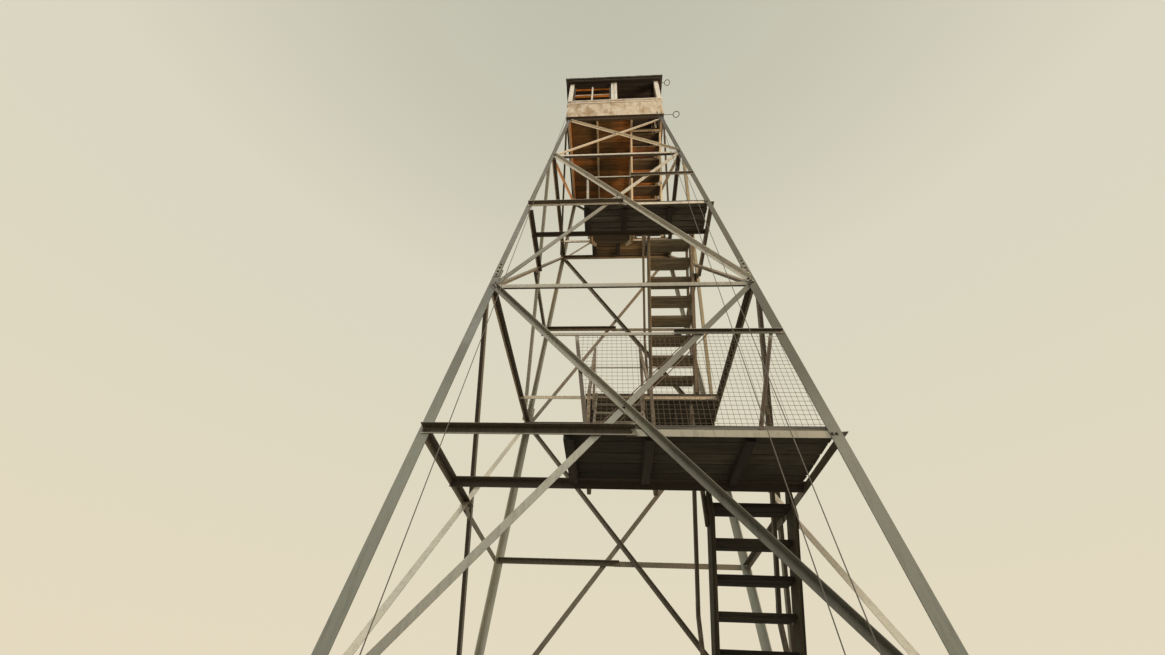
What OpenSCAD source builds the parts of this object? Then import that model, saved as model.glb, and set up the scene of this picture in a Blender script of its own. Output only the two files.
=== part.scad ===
// Steel and timber fire lookout tower with a boarded cab, five flights of stairs and four landings.
// Millimetres, +Z up. The front faces -Y. The origin is on the ground, at the middle of the four legs.

/* [Tower] */
// Height between one landing and the next
storey_h = 2134; // [1950:1:2350]
// Spread of the legs over their outer corners, where they stand on the footings
base_spread = 3930; // [3600:1:4300]
// Spread of the legs over their outer corners, under the cab
top_spread = 2160; // [2080:1:2300]

/* [Footings] */
// Height of the concrete footings above the ground
footing_h = 300; // [200:1:450]
// Width of a footing at its top
footing_w = 440; // [380:1:600]
// Width that a footing gains on each side down to the ground
footing_flare = 60; // [0:1:120]
// Thickness of the steel base plates
base_plate_t = 16; // [10:1:25]
// Width of the base plates
base_plate_w = 260; // [220:1:320]

/* [Steelwork] */
// Flange width of the leg angles below the splice
leg_low_w = 102; // [90:1:125]
// Flange width of the leg angles above the splice
leg_high_w = 76; // [64:1:90]
// Thickness of the leg angles
leg_t = 10; // [8:1:14]
// Height of the leg splice above the second landing
splice_up = 330; // [200:1:450]
// Flange width of the diagonal bracing angles in the two lower panels
brace_w = 64; // [50:1:80]
// Flange width of the diagonal bracing angles under the cab
top_brace_w = 45; // [38:1:60]
// Thickness of the bracing and girt angles
brace_t = 6; // [5:1:9]
// Flange width of the horizontal girts
girt_w = 70; // [60:1:85]
// Flange width of the first landing's beam
beam_w = 80; // [72:1:96]
// Flange width of the other landings' beams
high_beam_w = 60; // [50:1:70]

/* [Landings] */
// Distance from the centre of the tower to the inner edge of each landing but the third
landing_y = 760; // [700:1:820]
// Distance that the third landing's inner edge stands further out
third_back = 90; // [0:1:110]
// Distance from the centre of the tower to the open left end of each landing
landing_left = 530; // [450:1:620]
// Thickness of the deck planks
plank_t = 50; // [38:1:56]
// Number of planks across a landing
plank_n = 5; // [4:1:6]
// Gap between two planks
plank_gap = 9; // [5:1:14]
// Width of the landing joists
joist_w = 85; // [60:1:95]
// Depth of the landing joists
joist_h = 60; // [45:1:64]

/* [Stairs] */
// Number of risers in a flight
riser_n = 8; // [8:1:8]
// Distance that the ground flight stands further forward than the others
ground_shift = 245; // [150:1:250]
// Height that the ground flight's steps stand above the even spacing of the others
ground_lift = 30; // [0:1:45]
// Steps of the ground flight below the level of the leg feet
ground_steps = 2; // [2:1:2]
// Going from one tread to the next
going = 190; // [180:1:196]
// Depth of a tread from front to back
tread_d = 250; // [220:1:270]
// Thickness of a tread
tread_t = 42; // [32:1:50]
// Thickness of a stair stringer
stringer_t = 41; // [38:1:50]
// Depth of a stair stringer, square to its slope
stringer_d = 195; // [180:1:230]
// Clear width of the treads in each flight, from the ground up
flight_w = [734, 640, 668, 640, 622];
// Middle of each flight across the tower, from the ground up
flight_x = [1240, -5, 880, -100, 718];
// Height of the handrails above the stringers, measured upright
handrail_up = 880; // [800:1:950]
// Width of the handrails and their posts
rail_w = 38; // [32:1:44]
// Depth of the handrails, square to their slope
rail_d = 70; // [60:1:90]
// Depth of the newels from front to back
newel_d = 90; // [80:1:110]
// Height of the newels above the handrails
newel_over = 10; // [0:1:120]

/* [Railings] */
// Height of the railings above the girts, on the first three landings
railing_up = [1250, 1170, 1060];
// Flange width of the railing angles
railing_w = 42; // [38:1:50]
// Thickness of the bar behind the second landing
thin_bar = 14; // [10:1:20]
// Flange width of the railing posts
post_w = 38; // [32:1:44]
// Spacing of the mesh wires in front of the first landing
mesh_pitch = 50; // [40:1:75]
// Thickness of the mesh wires
mesh_wire = 2.5; // [2:0.5:4]

/* [Cab] */
// Outer width of the cab walls
cab_w = 2240; // [2200:1:2300]
// Thickness of the cab walls
wall_t = 80; // [60:1:110]
// Height of the floor frame on top of the legs
floor_frame_h = 90; // [70:1:120]
// Width of the floor joists
floor_joist_w = 45; // [35:1:60]
// Length of the floor hatch, back from the front floor beam
hatch_l = 960; // [850:1:1100]
// Thickness of the cab floor
floor_t = 32; // [24:1:45]
// Height of the window sills above the cab floor
sill_up = 870; // [800:1:960]
// Height of the windows
window_h = 1150; // [1050:1:1200]
// Height of the walls above the window heads
head_h = 70; // [50:1:120]
// Width of the corner boards
corner_w = 90; // [80:1:120]
// Width of the mullion in the middle of each wall
mullion_w = 150; // [120:1:200]
// Width of the window sashes' frames
sash_w = 55; // [40:1:75]
// Width of the bars between the panes
pane_bar_w = 24; // [18:1:32]
// Thickness of the sashes
sash_t = 36; // [28:1:45]
// Overhang of the roof past the walls
eave = 105; // [90:1:180]
// Depth of the fascia round the roof
fascia_h = 95; // [70:1:130]
// Thickness of the fascia, the soffit and the roof boards
roof_t = 28; // [20:1:40]
// Rise of the roof from its eaves to its apex
roof_rise = 320; // [200:1:450]

/* [Wires and rings] */
// Thickness of the ground wires and of the ring rods
wire_d = 8; // [6:1:12]
// Outer diameter of the rings at the end of the rods
ring_d = 152; // [130:1:180]
// Reach of the lower ring rod from the wall to the ring's centre
low_rod = 280; // [250:1:340]
// Reach of the upper ring rod from the eaves to the ring's centre
high_rod = 160; // [130:1:220]

/* [Hidden] */

galvanised = "#9a9f93";
dark_wood = "#4a3d30";
grey_wood = "#8d8470";
cab_paint = "#c9b48c";
roof_grey = "#4b4740";
concrete = "#a5a298";
sash_paint = "#cfc8b4";

leg_foot = footing_h + base_plate_t;
// Clearance of a piece that is seated against another
seat = 0.3;
// Feet of the lowest diagonals above the feet of the legs, and heads of the highest below the cab
foot_up = 90;
head_down = 60;
// Place and length of the lap between the two parts of a girt
lap_x = 95;
lap_w = 80;
// Foot and head of the leaning railing posts, as shares of the reach of the railing's left end
post_foot = [0.41, 0, 0.9];
post_head = [0.58, 0, 0.97];
brace_foot = 1.39;
brace_head = 1.88;
// Length of the handrail posts beside the stringers, measured down from the stringers' edge
post_lap = 190;
batter = (base_spread - top_spread) / 2 / (5 * storey_h);
lean = atan(batter);
rise = storey_h / riser_n;
// Planks lie on the girts, whose flanges are centred on the landing level
deck_up = girt_w / 2 + plank_t;

function level(k) = footing_h + k * storey_h;
function half_at(z) = base_spread / 2 - batter * (z - footing_h);
function up_face(z) = (z - footing_h) / cos(lean);
function up_level(k) = up_face(level(k));
function rises_forward(k) = k % 2 == 0;
function edge_at(k) = landing_y + (k == 3 ? third_back : 0);
function beam_at(k) = k == 1 ? beam_w : high_beam_w;
function beam_foot(k) = level(k) + girt_w / 2 - beam_at(k);

// Places its children on the outer plane of one side: x across, y up the slope, z outward
module on_side(turn)
    rotate([0, 0, turn]) translate([0, -base_spread / 2, footing_h]) rotate([90 - lean, 0, 0])
        mirror([turn == 270 ? 1 : 0, 0, 0]) children();

// Flat strip of a leg in the plane of one side, along its left edge or its right edge
module leg_strip(v0, v1, w, inner, outer, right) {
    x0 = base_spread / 2 - tan_batter() * v0;
    x1 = base_spread / 2 - tan_batter() * v1;
    s = right ? 1 : -1;
    translate([0, 0, inner]) linear_extrude(outer - inner)
        polygon([[s * x0, v0], [s * (x0 - w), v0], [s * (x1 - w), v1], [s * x1, v1]]);
}
function tan_batter() = batter * cos(lean);

// Angle bar from p to q on a side. Its flat flange runs from n0 outward, and its standing
// flange, along the upper edge, stops short of both ends by the cope.
module angle_bar(p, q, w, t, n0, outward, cope = 0) {
    run = q - p;
    translate([p.x, p.y, 0]) rotate([0, 0, atan2(run.y, run.x)]) rotate([90, 0, 90]) union() {
        linear_extrude(norm(run)) translate([-w / 2, n0]) square([w, t]);
        translate([0, 0, cope]) linear_extrude(norm(run) - 2 * cope)
            translate([w / 2 - t, outward ? n0 : n0 + t - w]) square([t, w]);
    }
}

module footings()
    color(concrete) for (sx = [-1, 1], sy = [-1, 1]) {
        h = base_spread / 2 - base_plate_w / 4;
        translate([sx * h, sy * h, 0]) rotate([0, 0, 45])
            cylinder(h = footing_h, d1 = (footing_w + 2 * footing_flare) * sqrt(2),
                     d2 = footing_w * sqrt(2), $fn = 4);
    }

// Leg at the front left corner; the others are turned from it
module leg(turn) {
    top_v = up_level(5);
    splice_v = up_face(level(2) + splice_up);
    v0 = up_face(leg_foot);
    color(galvanised) rotate([0, 0, turn]) {
        for (side = [0, 1]) on_side(side == 0 ? 0 : -90) {
            right = side == 1;
            leg_strip(v0, splice_v, leg_low_w, -leg_t, 0, right);
            leg_strip(splice_v, top_v, leg_high_w, -leg_t, 0, right);
        }
        h = base_spread / 2 - base_plate_w / 4;
        translate([-h - base_plate_w / 2, -h - base_plate_w / 2, footing_h])
            cube([base_plate_w, base_plate_w, base_plate_t]);
    }
}
module leg_front_left() leg(0);
module leg_front_right() leg(90);
module leg_back_right() leg(180);
module leg_back_left() leg(270);

// The diagonals of a side cross in three panels, from the nodes at level a to those at level b.
// One lies on the legs' outer faces and the other on their inner faces.
panels = [[0, 2], [2, 4], [4, 5]];
in_face = -leg_t - brace_t;
function foot_v(a) = up_level(a) + (a == 0 ? foot_up : 0);
function head_v(b) = up_level(b) - (b == 5 ? head_down : 0);
function panel_w(a) = a == 4 ? top_brace_w : brace_w;
function node_x(k) = half_at(level(k)) - (k < 3 ? leg_low_w : leg_high_w) / 2;
// Where the inner diagonal of a panel stands at height v; the outer one stands at minus that
function crossing_x(a, b, v) =
    -node_x(a) + (node_x(a) + node_x(b)) * (v - foot_v(a)) / (head_v(b) - foot_v(a));
// Height at which the two diagonals of a panel cross
function crossing_v(a, b) = foot_v(a) + (head_v(b) - foot_v(a)) * node_x(a) / (node_x(a) + node_x(b));

module spacer(x, v, w)
    translate([x, v, seat - leg_t]) cylinder(h = leg_t + brace_t / 2, d = w / 2, $fn = 24);
module outer_diagonal(a, b) {
    angle_bar([-node_x(b), head_v(b)], [node_x(a), foot_v(a)], panel_w(a), brace_t, 0, true, 60);
    spacer(0, crossing_v(a, b), panel_w(a));
}
module inner_diagonal(a, b, room = 0)
    angle_bar([-node_x(a), foot_v(a)], [node_x(b), head_v(b)],
              panel_w(a) + 2 * room, brace_t + 2 * room, in_face - room, false, 110);

// Half length of a bar between the two legs of a side, at height v
function reach(v) = half_at(footing_h + v * cos(lean)) - leg_t - 2 * brace_t - 4;

// Bar across a side in two parts: one on the legs' outer faces, from the left leg to lap_end, and
// one on their inner faces, from there to x1
module split_bar(v, w, x1, lap_end, cope = 0) {
    angle_bar([-reach(v), v], [lap_end, v], w, brace_t, 0, true);
    spacer(lap_end - lap_w / 2, v, w);
    angle_bar([lap_end - lap_w, v], [x1, v], w, brace_t, in_face, false, cope);
}
module lattice(turn)
    color(galvanised) on_side(turn) {
        cope = girt_w + seat;
        for (p = panels) {
            outer_diagonal(p[0], p[1]);
            inner_diagonal(p[0], p[1]);
        }
        for (v = [up_level(1), up_level(3)])
            split_bar(v, girt_w, reach(v), lap_x, turn == 270 ? cope : 0);
        for (v = [up_level(2), up_level(4)])
            angle_bar([-reach(v), v], [reach(v), v], girt_w, brace_t,
                      in_face - brace_t - seat, false, turn % 180 == 0 ? 0 : cope);
    }
module lattice_front() lattice(0);
module lattice_right() lattice(90);
module lattice_back() lattice(180);
module lattice_left() lattice(270);

// Level distance from the outer plane of a side to the inner face of a bar on it
function inside(n) = -n / cos(lean);

// Beams across the tower that carry the inner edge of each landing. The front ones end at the
// girts on the legs' outer faces, the back ones at those behind the diagonals.
module landing_beams()
    color(galvanised) for (k = [1:4]) {
        top = level(k) + girt_w / 2;
        front = k % 2 == 1;
        web_reach = half_at(top) - inside(front ? 0 : in_face - brace_t) - seat * 2;
        flange_reach = front ? web_reach : web_reach - girt_w;
        mirror([0, front ? 1 : 0, 0]) {
            translate([-flange_reach, edge_at(k), top - brace_t])
                cube([2 * flange_reach, beam_at(k), brace_t]);
            translate([-web_reach, edge_at(k), beam_foot(k)])
                cube([2 * web_reach, brace_t, beam_at(k) - brace_t]);
        }
    }

// Landing at level k: planks along the tower's width on joists that run front to back
module landing(k) {
    top = level(k) + deck_up;
    edge = half_at(top) - inside(in_face);
    depth = edge - edge_at(k);
    plank_w = (depth - (plank_n - 1) * plank_gap) / plank_n;
    color(dark_wood) difference() {
        mirror([0, k % 2 == 0 ? 0 : 1, 0]) {
            for (i = [0:plank_n - 1])
                translate([-landing_left, edge_at(k) + i * (plank_w + plank_gap), top - plank_t])
                    cube([landing_left + edge, plank_w, plank_t]);
            for (j = joist_share)
                translate([(landing_left + edge) * j - landing_left, edge_at(k) + beam_at(k),
                           top - plank_t - joist_h])
                    cube([joist_w, depth - beam_at(k) - girt_w - brace_t - seat, joist_h + plank_t / 2]);
        }
        for (turn = [0, 90, 180, 270], p = panels)
            on_side(turn) inner_diagonal(p[0], p[1], plank_gap);
    }
}
module landing_1() landing(1);
module landing_2() landing(2);
module landing_3() landing(3);
module landing_4() landing(4);

// Height of the stringers' top edge above the treads' top edges
stringer_above = 20;
// Flights that rise toward the front have their top tread level with the landing
function top_gap(k) = rises_forward(k) ? 1 : 0;
function go(k) = k == 3 ? (edge_at(3) + landing_y) / riser_n : going;
function slope(k) = rise / go(k);
function tread_y(k, i) = -landing_y + go(k) * (riser_n - i + top_gap(k)) - (k == 0 ? ground_shift : 0);
// Turns a flight that rises toward the front into one that rises toward the back
module flight_way(k) {
    if (rises_forward(k)) children();
    else rotate([0, 0, 180]) children();
}
function flight_mid(k) = rises_forward(k) ? flight_x[k] : -flight_x[k];
function flight_base(k) = k == 0 ? 0 : level(k) + deck_up;
// The ground flight starts lower, and its top tread is the landing itself
function first_step(k) = k == 0 ? 1 - ground_steps : 1;
function last_step(k) = k == 0 || !rises_forward(k) ? riser_n - 1 : riser_n;
function tread_top(k, i) = level(k) + deck_up + i * rise + (k == 0 ? ground_lift : 0);
// Height of a stringer's top edge at y
function edge_z(k, y) = tread_top(k, 1) + stringer_above + (tread_y(k, 1) - y) * slope(k);
function edge_y(k, z) = tread_y(k, 1) - (z - tread_top(k, 1) - stringer_above) / slope(k);

// The top tread of the last flight fills the hatch from joist to joist
module treads(k)
    color(dark_wood) flight_way(k) for (i = [first_step(k):last_step(k)]) {
        in_hatch = k == 4 && i == riser_n;
        x0 = in_hatch ? hatch_x0 + seat : flight_mid(k) - flight_w[k] / 2;
        x1 = in_hatch ? hatch_x1 - seat : flight_mid(k) + flight_w[k] / 2;
        translate([x0, tread_y(k, i) - tread_d / 2, tread_top(k, i) - tread_t])
            cube([x1 - x0, tread_d, tread_t]);
    }
module treads_1() treads(0);
module treads_2() treads(1);
module treads_3() treads(2);
module treads_4() treads(3);
module treads_5() treads(4);

// Outline of a sloping stringer seen from its side, going x to the rear and z up. Flights that rise
// toward the back start against the beam of the landing below, the others stand on its deck.
module stringer_outline(k) {
    hung = !rises_forward(k);
    low_z = hung ? beam_foot(k) : flight_base(k);
    foot_y = hung ? edge_at(k) : edge_y(k, low_z);
    high_z = k == 4 ? cab_z - seat : level(k + 1) + deck_up;
    // Upright depth of the sloping board
    deep = stringer_d * sqrt(1 + slope(k) * slope(k));
    // The top flight's stringers are cut level under the cab's floor frame
    head_y = k == 4 ? edge_y(k, high_z + deep) : -edge_at(k + 1);
    intersection() {
        band(k, head_y, foot_y - head_y, -deep, 0);
        translate([head_y, low_z]) square([foot_y - head_y, high_z - low_z]);
    }
    // The third flight's stringers run on level to the beam of the landing above
    if (k == 2) translate([head_y, beam_foot(3)])
        square([edge_y(k, beam_foot(3) + deep) - head_y, high_z - beam_foot(3)]);
}

// Places a profile on both stringers of flight k, as thick as t, or off their middles by out
module on_stringers(k, t, out = 0)
    flight_way(k) for (s = [-1, 1])
        translate([flight_mid(k) + s * (flight_w[k] / 2 + stringer_t / 2 + out) - t / 2, 0, 0])
            rotate([90, 0, 90]) linear_extrude(t) children();

module stringers(k)
    color(dark_wood) on_stringers(k, stringer_t) stringer_outline(k);
module stringers_1() stringers(0);
module stringers_2() stringers(1);
module stringers_3() stringers(2);
module stringers_4() stringers(3);
module stringers_5() stringers(4);

// Handrails beside the stringers: a newel at the foot, a post near the head and a sloping rail
// between them. They lap the stringers' outer faces, but those of the top flight stand on the
// stringers and end under the cab floor.
module handrails(k) {
    upright = rail_d * sqrt(1 + slope(k) * slope(k));
    newel_y = tread_y(k, 1);
    head_y = k == 4 ? edge_y(k, cab_z - handrail_up - upright - rail_d)
                    : tread_y(k, last_step(k)) - go(k) / 2;
    beside = k == 4 ? 0 : (stringer_t + rail_w) / 2 + seat;
    foot = k == 4 ? seat : -post_lap;
    color(grey_wood) on_stringers(k, rail_w, beside) {
        band(k, newel_y, newel_d, foot, handrail_up + upright + newel_over);
        band(k, head_y, newel_y - seat - head_y, handrail_up, handrail_up + upright);
        band(k, head_y + rail_w, rail_d, foot, handrail_up - seat);
    }
}
// Profile d deep from y on, between two heights above the stringer's edge
module band(k, y, d, low, high)
    polygon([[y, edge_z(k, y) + low], [y + d, edge_z(k, y + d) + low],
             [y + d, edge_z(k, y + d) + high], [y, edge_z(k, y) + high]]);
module handrails_1() handrails(0);
module handrails_2() handrails(1);
module handrails_3() handrails(2);
module handrails_4() handrails(3);
module handrails_5() handrails(4);

// Railings stand over the landings' outer edges
function rail_v(k) = up_level(k) + railing_up[k - 1];
function rail_x(k) = crossing_x(k - 1, k + 1, rail_v(k));
// Height on a side at which a piece that reaches in to n stands on the deck
function deck_v(k, n) = up_face(level(k) + deck_up) - n * batter + seat;
function under_flange(k) = rail_v(k) + railing_w / 2 - brace_t - seat - 3;
behind_diagonals = in_face - brace_t - seat;
post_back = behind_diagonals + brace_t - post_w;

// Front railing, from the outer diagonal to the right leg, in two parts with a leaning post
module front_railing(k) {
    v = rail_v(k);
    x = rail_x(k);
    bar = panel_w(k);
    color(galvanised) on_side(0) {
        mirror([1, 0, 0]) split_bar(v, railing_w, x + bar / 2, 3 * bar + lap_w - x);
        angle_bar([-post_foot[k - 1] * x, deck_v(k, post_back) + post_w / 12],
                  [-post_head[k - 1] * x, under_flange(k)],
                  post_w, brace_t, behind_diagonals, false);
        if (k == 1) {
            spacer(brace_head * x, v, post_w);
            angle_bar([brace_foot * x, up_level(k) + girt_w / 2 + post_w / 6], [brace_head * x, v],
                      post_w, brace_t, in_face, true, 60);
        }
    }
}
module railing_1() front_railing(1);
module railing_3() front_railing(3);

// Back railing of the second landing: a thin bar inside the diagonals' flanges, from the right leg
// to a post at the landing's open end
module railing_2() {
    v = rail_v(2);
    n_bar = in_face + brace_t - brace_w - seat - thin_bar;
    n_post = n_bar - brace_t - seat;
    color(galvanised) on_side(180) {
        translate([0, 0, n_bar]) wire([-reach(v) - 2 * brace_t, v], [landing_left, v], thin_bar);
        angle_bar([landing_left - post_w, deck_v(2, n_post + brace_t - post_w)],
                  [landing_left - post_w, v + thin_bar], post_w, brace_t, n_post, false);
    }
}

mesh_border = mesh_wire * 3;
n_mesh = behind_diagonals - mesh_border - seat;

// Wire mesh between heights v0 and v1, with slanting ends given as x at both heights
module mesh_panel(left, right, v0, v1) {
    inset = mesh_border * 0.56 + seat;
    translate([0, 0, n_mesh]) {
        for (e = [left, right]) wire([e[0], v0], [e[1], v1], mesh_border);
        intersection() {
            linear_extrude(mesh_border)
                polygon([[left[0] + inset, v0], [right[0] - inset, v0],
                         [right[1] - inset, v1], [left[1] + inset, v1]]);
            union() {
                for (x = [min(left) + mesh_pitch / 2:mesh_pitch:max(right)])
                    wire([x, v0], [x, v1], mesh_wire);
                translate([0, 0, mesh_wire + seat])
                    for (y = [v0 + mesh_pitch / 2:mesh_pitch:v1])
                        wire([min(left), y], [max(right), y], mesh_wire);
            }
        }
    }
}
// Straight wire of square section between two points of a side
module wire(p, q, t)
    translate([p.x, p.y, 0]) rotate([0, 0, atan2(q.y - p.y, q.x - p.x)])
        translate([0, -t / 2, 0]) cube([norm(q - p), t, t]);

// Mesh in front of the first landing, on both sides of the inner diagonal
module mesh_1() {
    x = rail_x(1);
    half_bar = panel_w(1) + mesh_border;
    v0 = deck_v(1, n_mesh);
    v1 = under_flange(1);
    low = crossing_x(0, 2, v0);
    high = crossing_x(0, 2, v1);
    color(galvanised) on_side(0) {
        mesh_panel([-post_foot[0] * x, -post_head[0] * x], [low - half_bar, high - half_bar], v0, v1);
        mesh_panel([low + half_bar, high + half_bar], [reach(v0), reach(v1)], v0, v1);
    }
}

// Places of the joists, as shares of a landing's length from its open end
joist_share = [0, 0.31, 0.68];
// Reach of the window sills out of the walls, their depth and their length
sill_out = 30;
sill_h = 42;
sill_l = cab_w - 2 * corner_w / 2;
// Ends of the ground wires across the tower, at the cab and at the ground
wire_ends = [[-1095, -1600], [967, 1192], [1055, 1395]];
wire_off = 28;
wire_foot = 150;
cab_z = level(5);
floor_z = cab_z + floor_frame_h;
floor_top = floor_z + floor_t;
sill_z = floor_top + sill_up;
wall_top = sill_z + window_h + head_h;

hatch_x0 = flight_x[4] - flight_w[4] / 2;
hatch_x1 = top_spread / 2 - floor_joist_w;
hatch_y0 = -top_spread / 2 + floor_joist_w;
// Distance of the middle floor joist to the left of the tower's centre
joist_off = 400;

// Beams round the top of the legs, with joists from front to back and a beam at the head of the stairs
module cab_floor_frame() {
    w = top_spread;
    j = floor_joist_w;
    color(dark_wood) union() {
        difference() {
            translate([-w / 2, -w / 2, cab_z]) cube([w, w, floor_frame_h]);
            translate([-w / 2 + j, -w / 2 + j, cab_z - 1]) cube([w - 2 * j, w - 2 * j, floor_frame_h + 2]);
        }
        for (x = [-joist_off - j / 2, hatch_x0 - j])
            translate([x, -w / 2 + j / 2, cab_z]) cube([j, w - j, floor_frame_h]);
        for (y = [-landing_y - j, hatch_y0 + hatch_l])
            translate([hatch_x0 - j / 2, y, cab_z]) cube([hatch_x1 - hatch_x0 + j, j, floor_frame_h]);
    }
}

module cab_floor()
    color(grey_wood) difference() {
        translate([-cab_w / 2 + wall_t, -cab_w / 2 + wall_t, floor_z])
            cube([cab_w - 2 * wall_t, cab_w - 2 * wall_t, floor_t]);
        translate([hatch_x0, hatch_y0, floor_z - 1]) cube([hatch_x1 - hatch_x0, hatch_l, floor_t + 2]);
    }

win_w = cab_w / 2 - corner_w - mullion_w / 2;
// Wall of the cab with its two window openings and a sill, built across the front and turned
module cab_wall(turn, full) {
    len = full ? cab_w : cab_w - 2 * wall_t;
    color(cab_paint) rotate([0, 0, turn]) difference() {
        union() {
            translate([-len / 2, -cab_w / 2, floor_z]) cube([len, wall_t, wall_top - floor_z]);
            translate([-sill_l / 2, -cab_w / 2 - sill_out, sill_z - sill_h])
                cube([sill_l, sill_out + 1, sill_h]);
        }
        for (s = [-1, 1])
            translate([s * (mullion_w / 2 + win_w / 2) - win_w / 2, -cab_w / 2 - 1, sill_z])
                cube([win_w, wall_t + 2, window_h]);
    }
}
module wall_front() cab_wall(0, true);
module wall_right() cab_wall(90, false);
module wall_back() cab_wall(180, true);
module wall_left() cab_wall(270, false);

// Four-pane sash in the left window opening of a wall
module sash(turn) {
    w = win_w - 2 * seat;
    h = window_h - 2 * seat;
    color(sash_paint) rotate([0, 0, turn])
        translate([-mullion_w / 2 - win_w + seat, -cab_w / 2 + sill_out, sill_z + seat]) {
            difference() {
                cube([w, sash_t, h]);
                translate([sash_w, -1, sash_w]) cube([w - 2 * sash_w, sash_t + 2, h - 2 * sash_w]);
            }
            translate([(w - pane_bar_w) / 2, 6, sash_w / 2]) cube([pane_bar_w, sash_t - 12, h - sash_w]);
            translate([sash_w / 2, 6, (h - pane_bar_w) / 2]) cube([w - sash_w, sash_t - 12, pane_bar_w]);
        }
}
module sash_front() sash(0);
module sash_right() sash(90);
module sash_back() sash(180);
module sash_left() sash(270);

// Square pyramid frustum, w0 wide at its foot and w1 wide at its top
module frustum(w0, w1, h)
    rotate([0, 0, 45]) cylinder(h = h, d1 = w0 * sqrt(2), d2 = w1 * sqrt(2), $fn = 4);

roof_w = cab_w + 2 * eave;
module ceiling()
    color(grey_wood) translate([-roof_w / 2 + roof_t, -roof_w / 2 + roof_t, wall_top])
        cube([roof_w - 2 * roof_t, roof_w - 2 * roof_t, roof_t]);

// Fascia and hipped roof boards over the ceiling
module roof()
    color(roof_grey) union() {
        difference() {
            translate([-roof_w / 2, -roof_w / 2, wall_top]) cube([roof_w, roof_w, fascia_h]);
            translate([-roof_w / 2 + roof_t, -roof_w / 2 + roof_t, wall_top - 1])
                cube([roof_w - 2 * roof_t, roof_w - 2 * roof_t, fascia_h + 2]);
        }
        translate([0, 0, wall_top + fascia_h]) difference() {
            frustum(roof_w, 60, roof_rise);
            translate([0, 0, -roof_t]) frustum(roof_w, 60, roof_rise);
        }
    }

// Thin wires from the cab's front corners down to the ground, in front of the braces
module ground_wires()
    color(galvanised) for (w = wire_ends) {
        top = [w[0], -cab_w / 2 - wire_off, floor_z + wire_d * 6];
        foot = [w[1], -base_spread / 2 - wire_foot, wire_d / 2];
        run = top - foot;
        translate(foot) rotate([0, acos(run.z / norm(run)), atan2(run.y, run.x)])
            cylinder(h = norm(run), d = wire_d, $fn = 16);
        translate([w[0], -cab_w / 2 - wire_off - wire_d / 2, top.z]) rotate([-90, 0, 0])
            cylinder(h = wire_off + wire_d / 2 - seat, d = wire_d * 2, $fn = 24);
    }

// Two rods at the right front corner, each with a ring at its end
module ring_rods()
    color(galvanised) {
        ring_rod([cab_w / 2 + seat, -cab_w / 2 + corner_w / 2, floor_z + ring_d / 4], low_rod);
        ring_rod([roof_w / 2 + seat, -cab_w / 2 + corner_w / 2, wall_top + fascia_h / 2], high_rod);
    }
module ring_rod(at, length)
    translate(at) {
        rotate([0, 90, 0]) cylinder(h = length - ring_d / 2 + wire_d, d = wire_d * 1.5, $fn = 24);
        translate([length, 0, 0]) rotate_extrude($fn = 48)
            translate([ring_d / 2 - wire_d, 0]) circle(d = wire_d * 2, $fn = 16);
    }

footings();
leg_front_left();
leg_front_right();
leg_back_left();
leg_back_right();
lattice_front();
lattice_right();
lattice_back();
lattice_left();
landing_beams();
landing_1();
landing_2();
landing_3();
landing_4();
stringers_1();
stringers_2();
stringers_3();
stringers_4();
stringers_5();
treads_1();
treads_2();
treads_3();
treads_4();
treads_5();
handrails_1();
handrails_2();
handrails_3();
handrails_4();
handrails_5();
railing_1();
railing_2();
railing_3();
mesh_1();
cab_floor_frame();
cab_floor();
wall_front();
wall_right();
wall_back();
wall_left();
sash_front();
sash_right();
sash_back();
sash_left();
ceiling();
roof();
ground_wires();
ring_rods();
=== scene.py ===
"""Looks of a steel and timber fire lookout tower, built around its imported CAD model.

Metres, +Z up, the front faces -Y. The lengths repeat those of the CAD source.
"""
import math
import random

import bpy
from mathutils import Matrix, Vector, noise


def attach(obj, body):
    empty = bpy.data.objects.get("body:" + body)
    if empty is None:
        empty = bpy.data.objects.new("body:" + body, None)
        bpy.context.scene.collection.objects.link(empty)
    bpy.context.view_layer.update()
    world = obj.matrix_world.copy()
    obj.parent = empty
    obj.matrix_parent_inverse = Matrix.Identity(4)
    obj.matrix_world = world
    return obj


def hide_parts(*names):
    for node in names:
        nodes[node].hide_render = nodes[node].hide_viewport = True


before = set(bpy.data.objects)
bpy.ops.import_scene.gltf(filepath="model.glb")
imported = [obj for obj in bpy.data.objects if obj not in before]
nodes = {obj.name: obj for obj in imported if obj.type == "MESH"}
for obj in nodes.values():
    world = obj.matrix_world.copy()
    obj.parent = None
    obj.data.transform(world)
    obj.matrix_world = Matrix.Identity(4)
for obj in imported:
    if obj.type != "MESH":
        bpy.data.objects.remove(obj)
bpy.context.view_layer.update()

STOREY, BASE, TOP, FOOTING = 2.134, 3.93, 2.16, 0.3
LEG_T, BRACE_T, GIRT_W, BASE_PLATE_T = 0.01, 0.006, 0.07, 0.016
LEG_W, BRACE_W, BAR_GAP = (0.102, 0.076), (0.064, 0.064, 0.045), 0.004
FOOT_UP, HEAD_DOWN, LAP_X, LAP_W = 0.09, 0.06, 0.095, 0.08
PANELS = ((0, 2), (2, 4), (4, 5))
BATTER = (BASE - TOP) / 2 / (5 * STOREY)
LEAN = math.atan(BATTER)
SPLICE_UP, SPLICE_L, SPLICE_W, SPLICE_T = 0.33, 0.30, 0.062, 0.008
PLANK_T, PLANK_N, PLANK_GAP, JOIST_W, JOIST_H = 0.05, 5, 0.009, 0.085, 0.06
LANDING_Y, THIRD_BACK, LANDING_LEFT, JOISTS = 0.76, 0.09, 0.53, (0, 0.31, 0.68)
RISERS, GOING, TREAD_D, TREAD_T = 8, 0.19, 0.25, 0.042
STRINGER_T, STRINGER_D, STRINGER_ABOVE = 0.041, 0.195, 0.02
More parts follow.
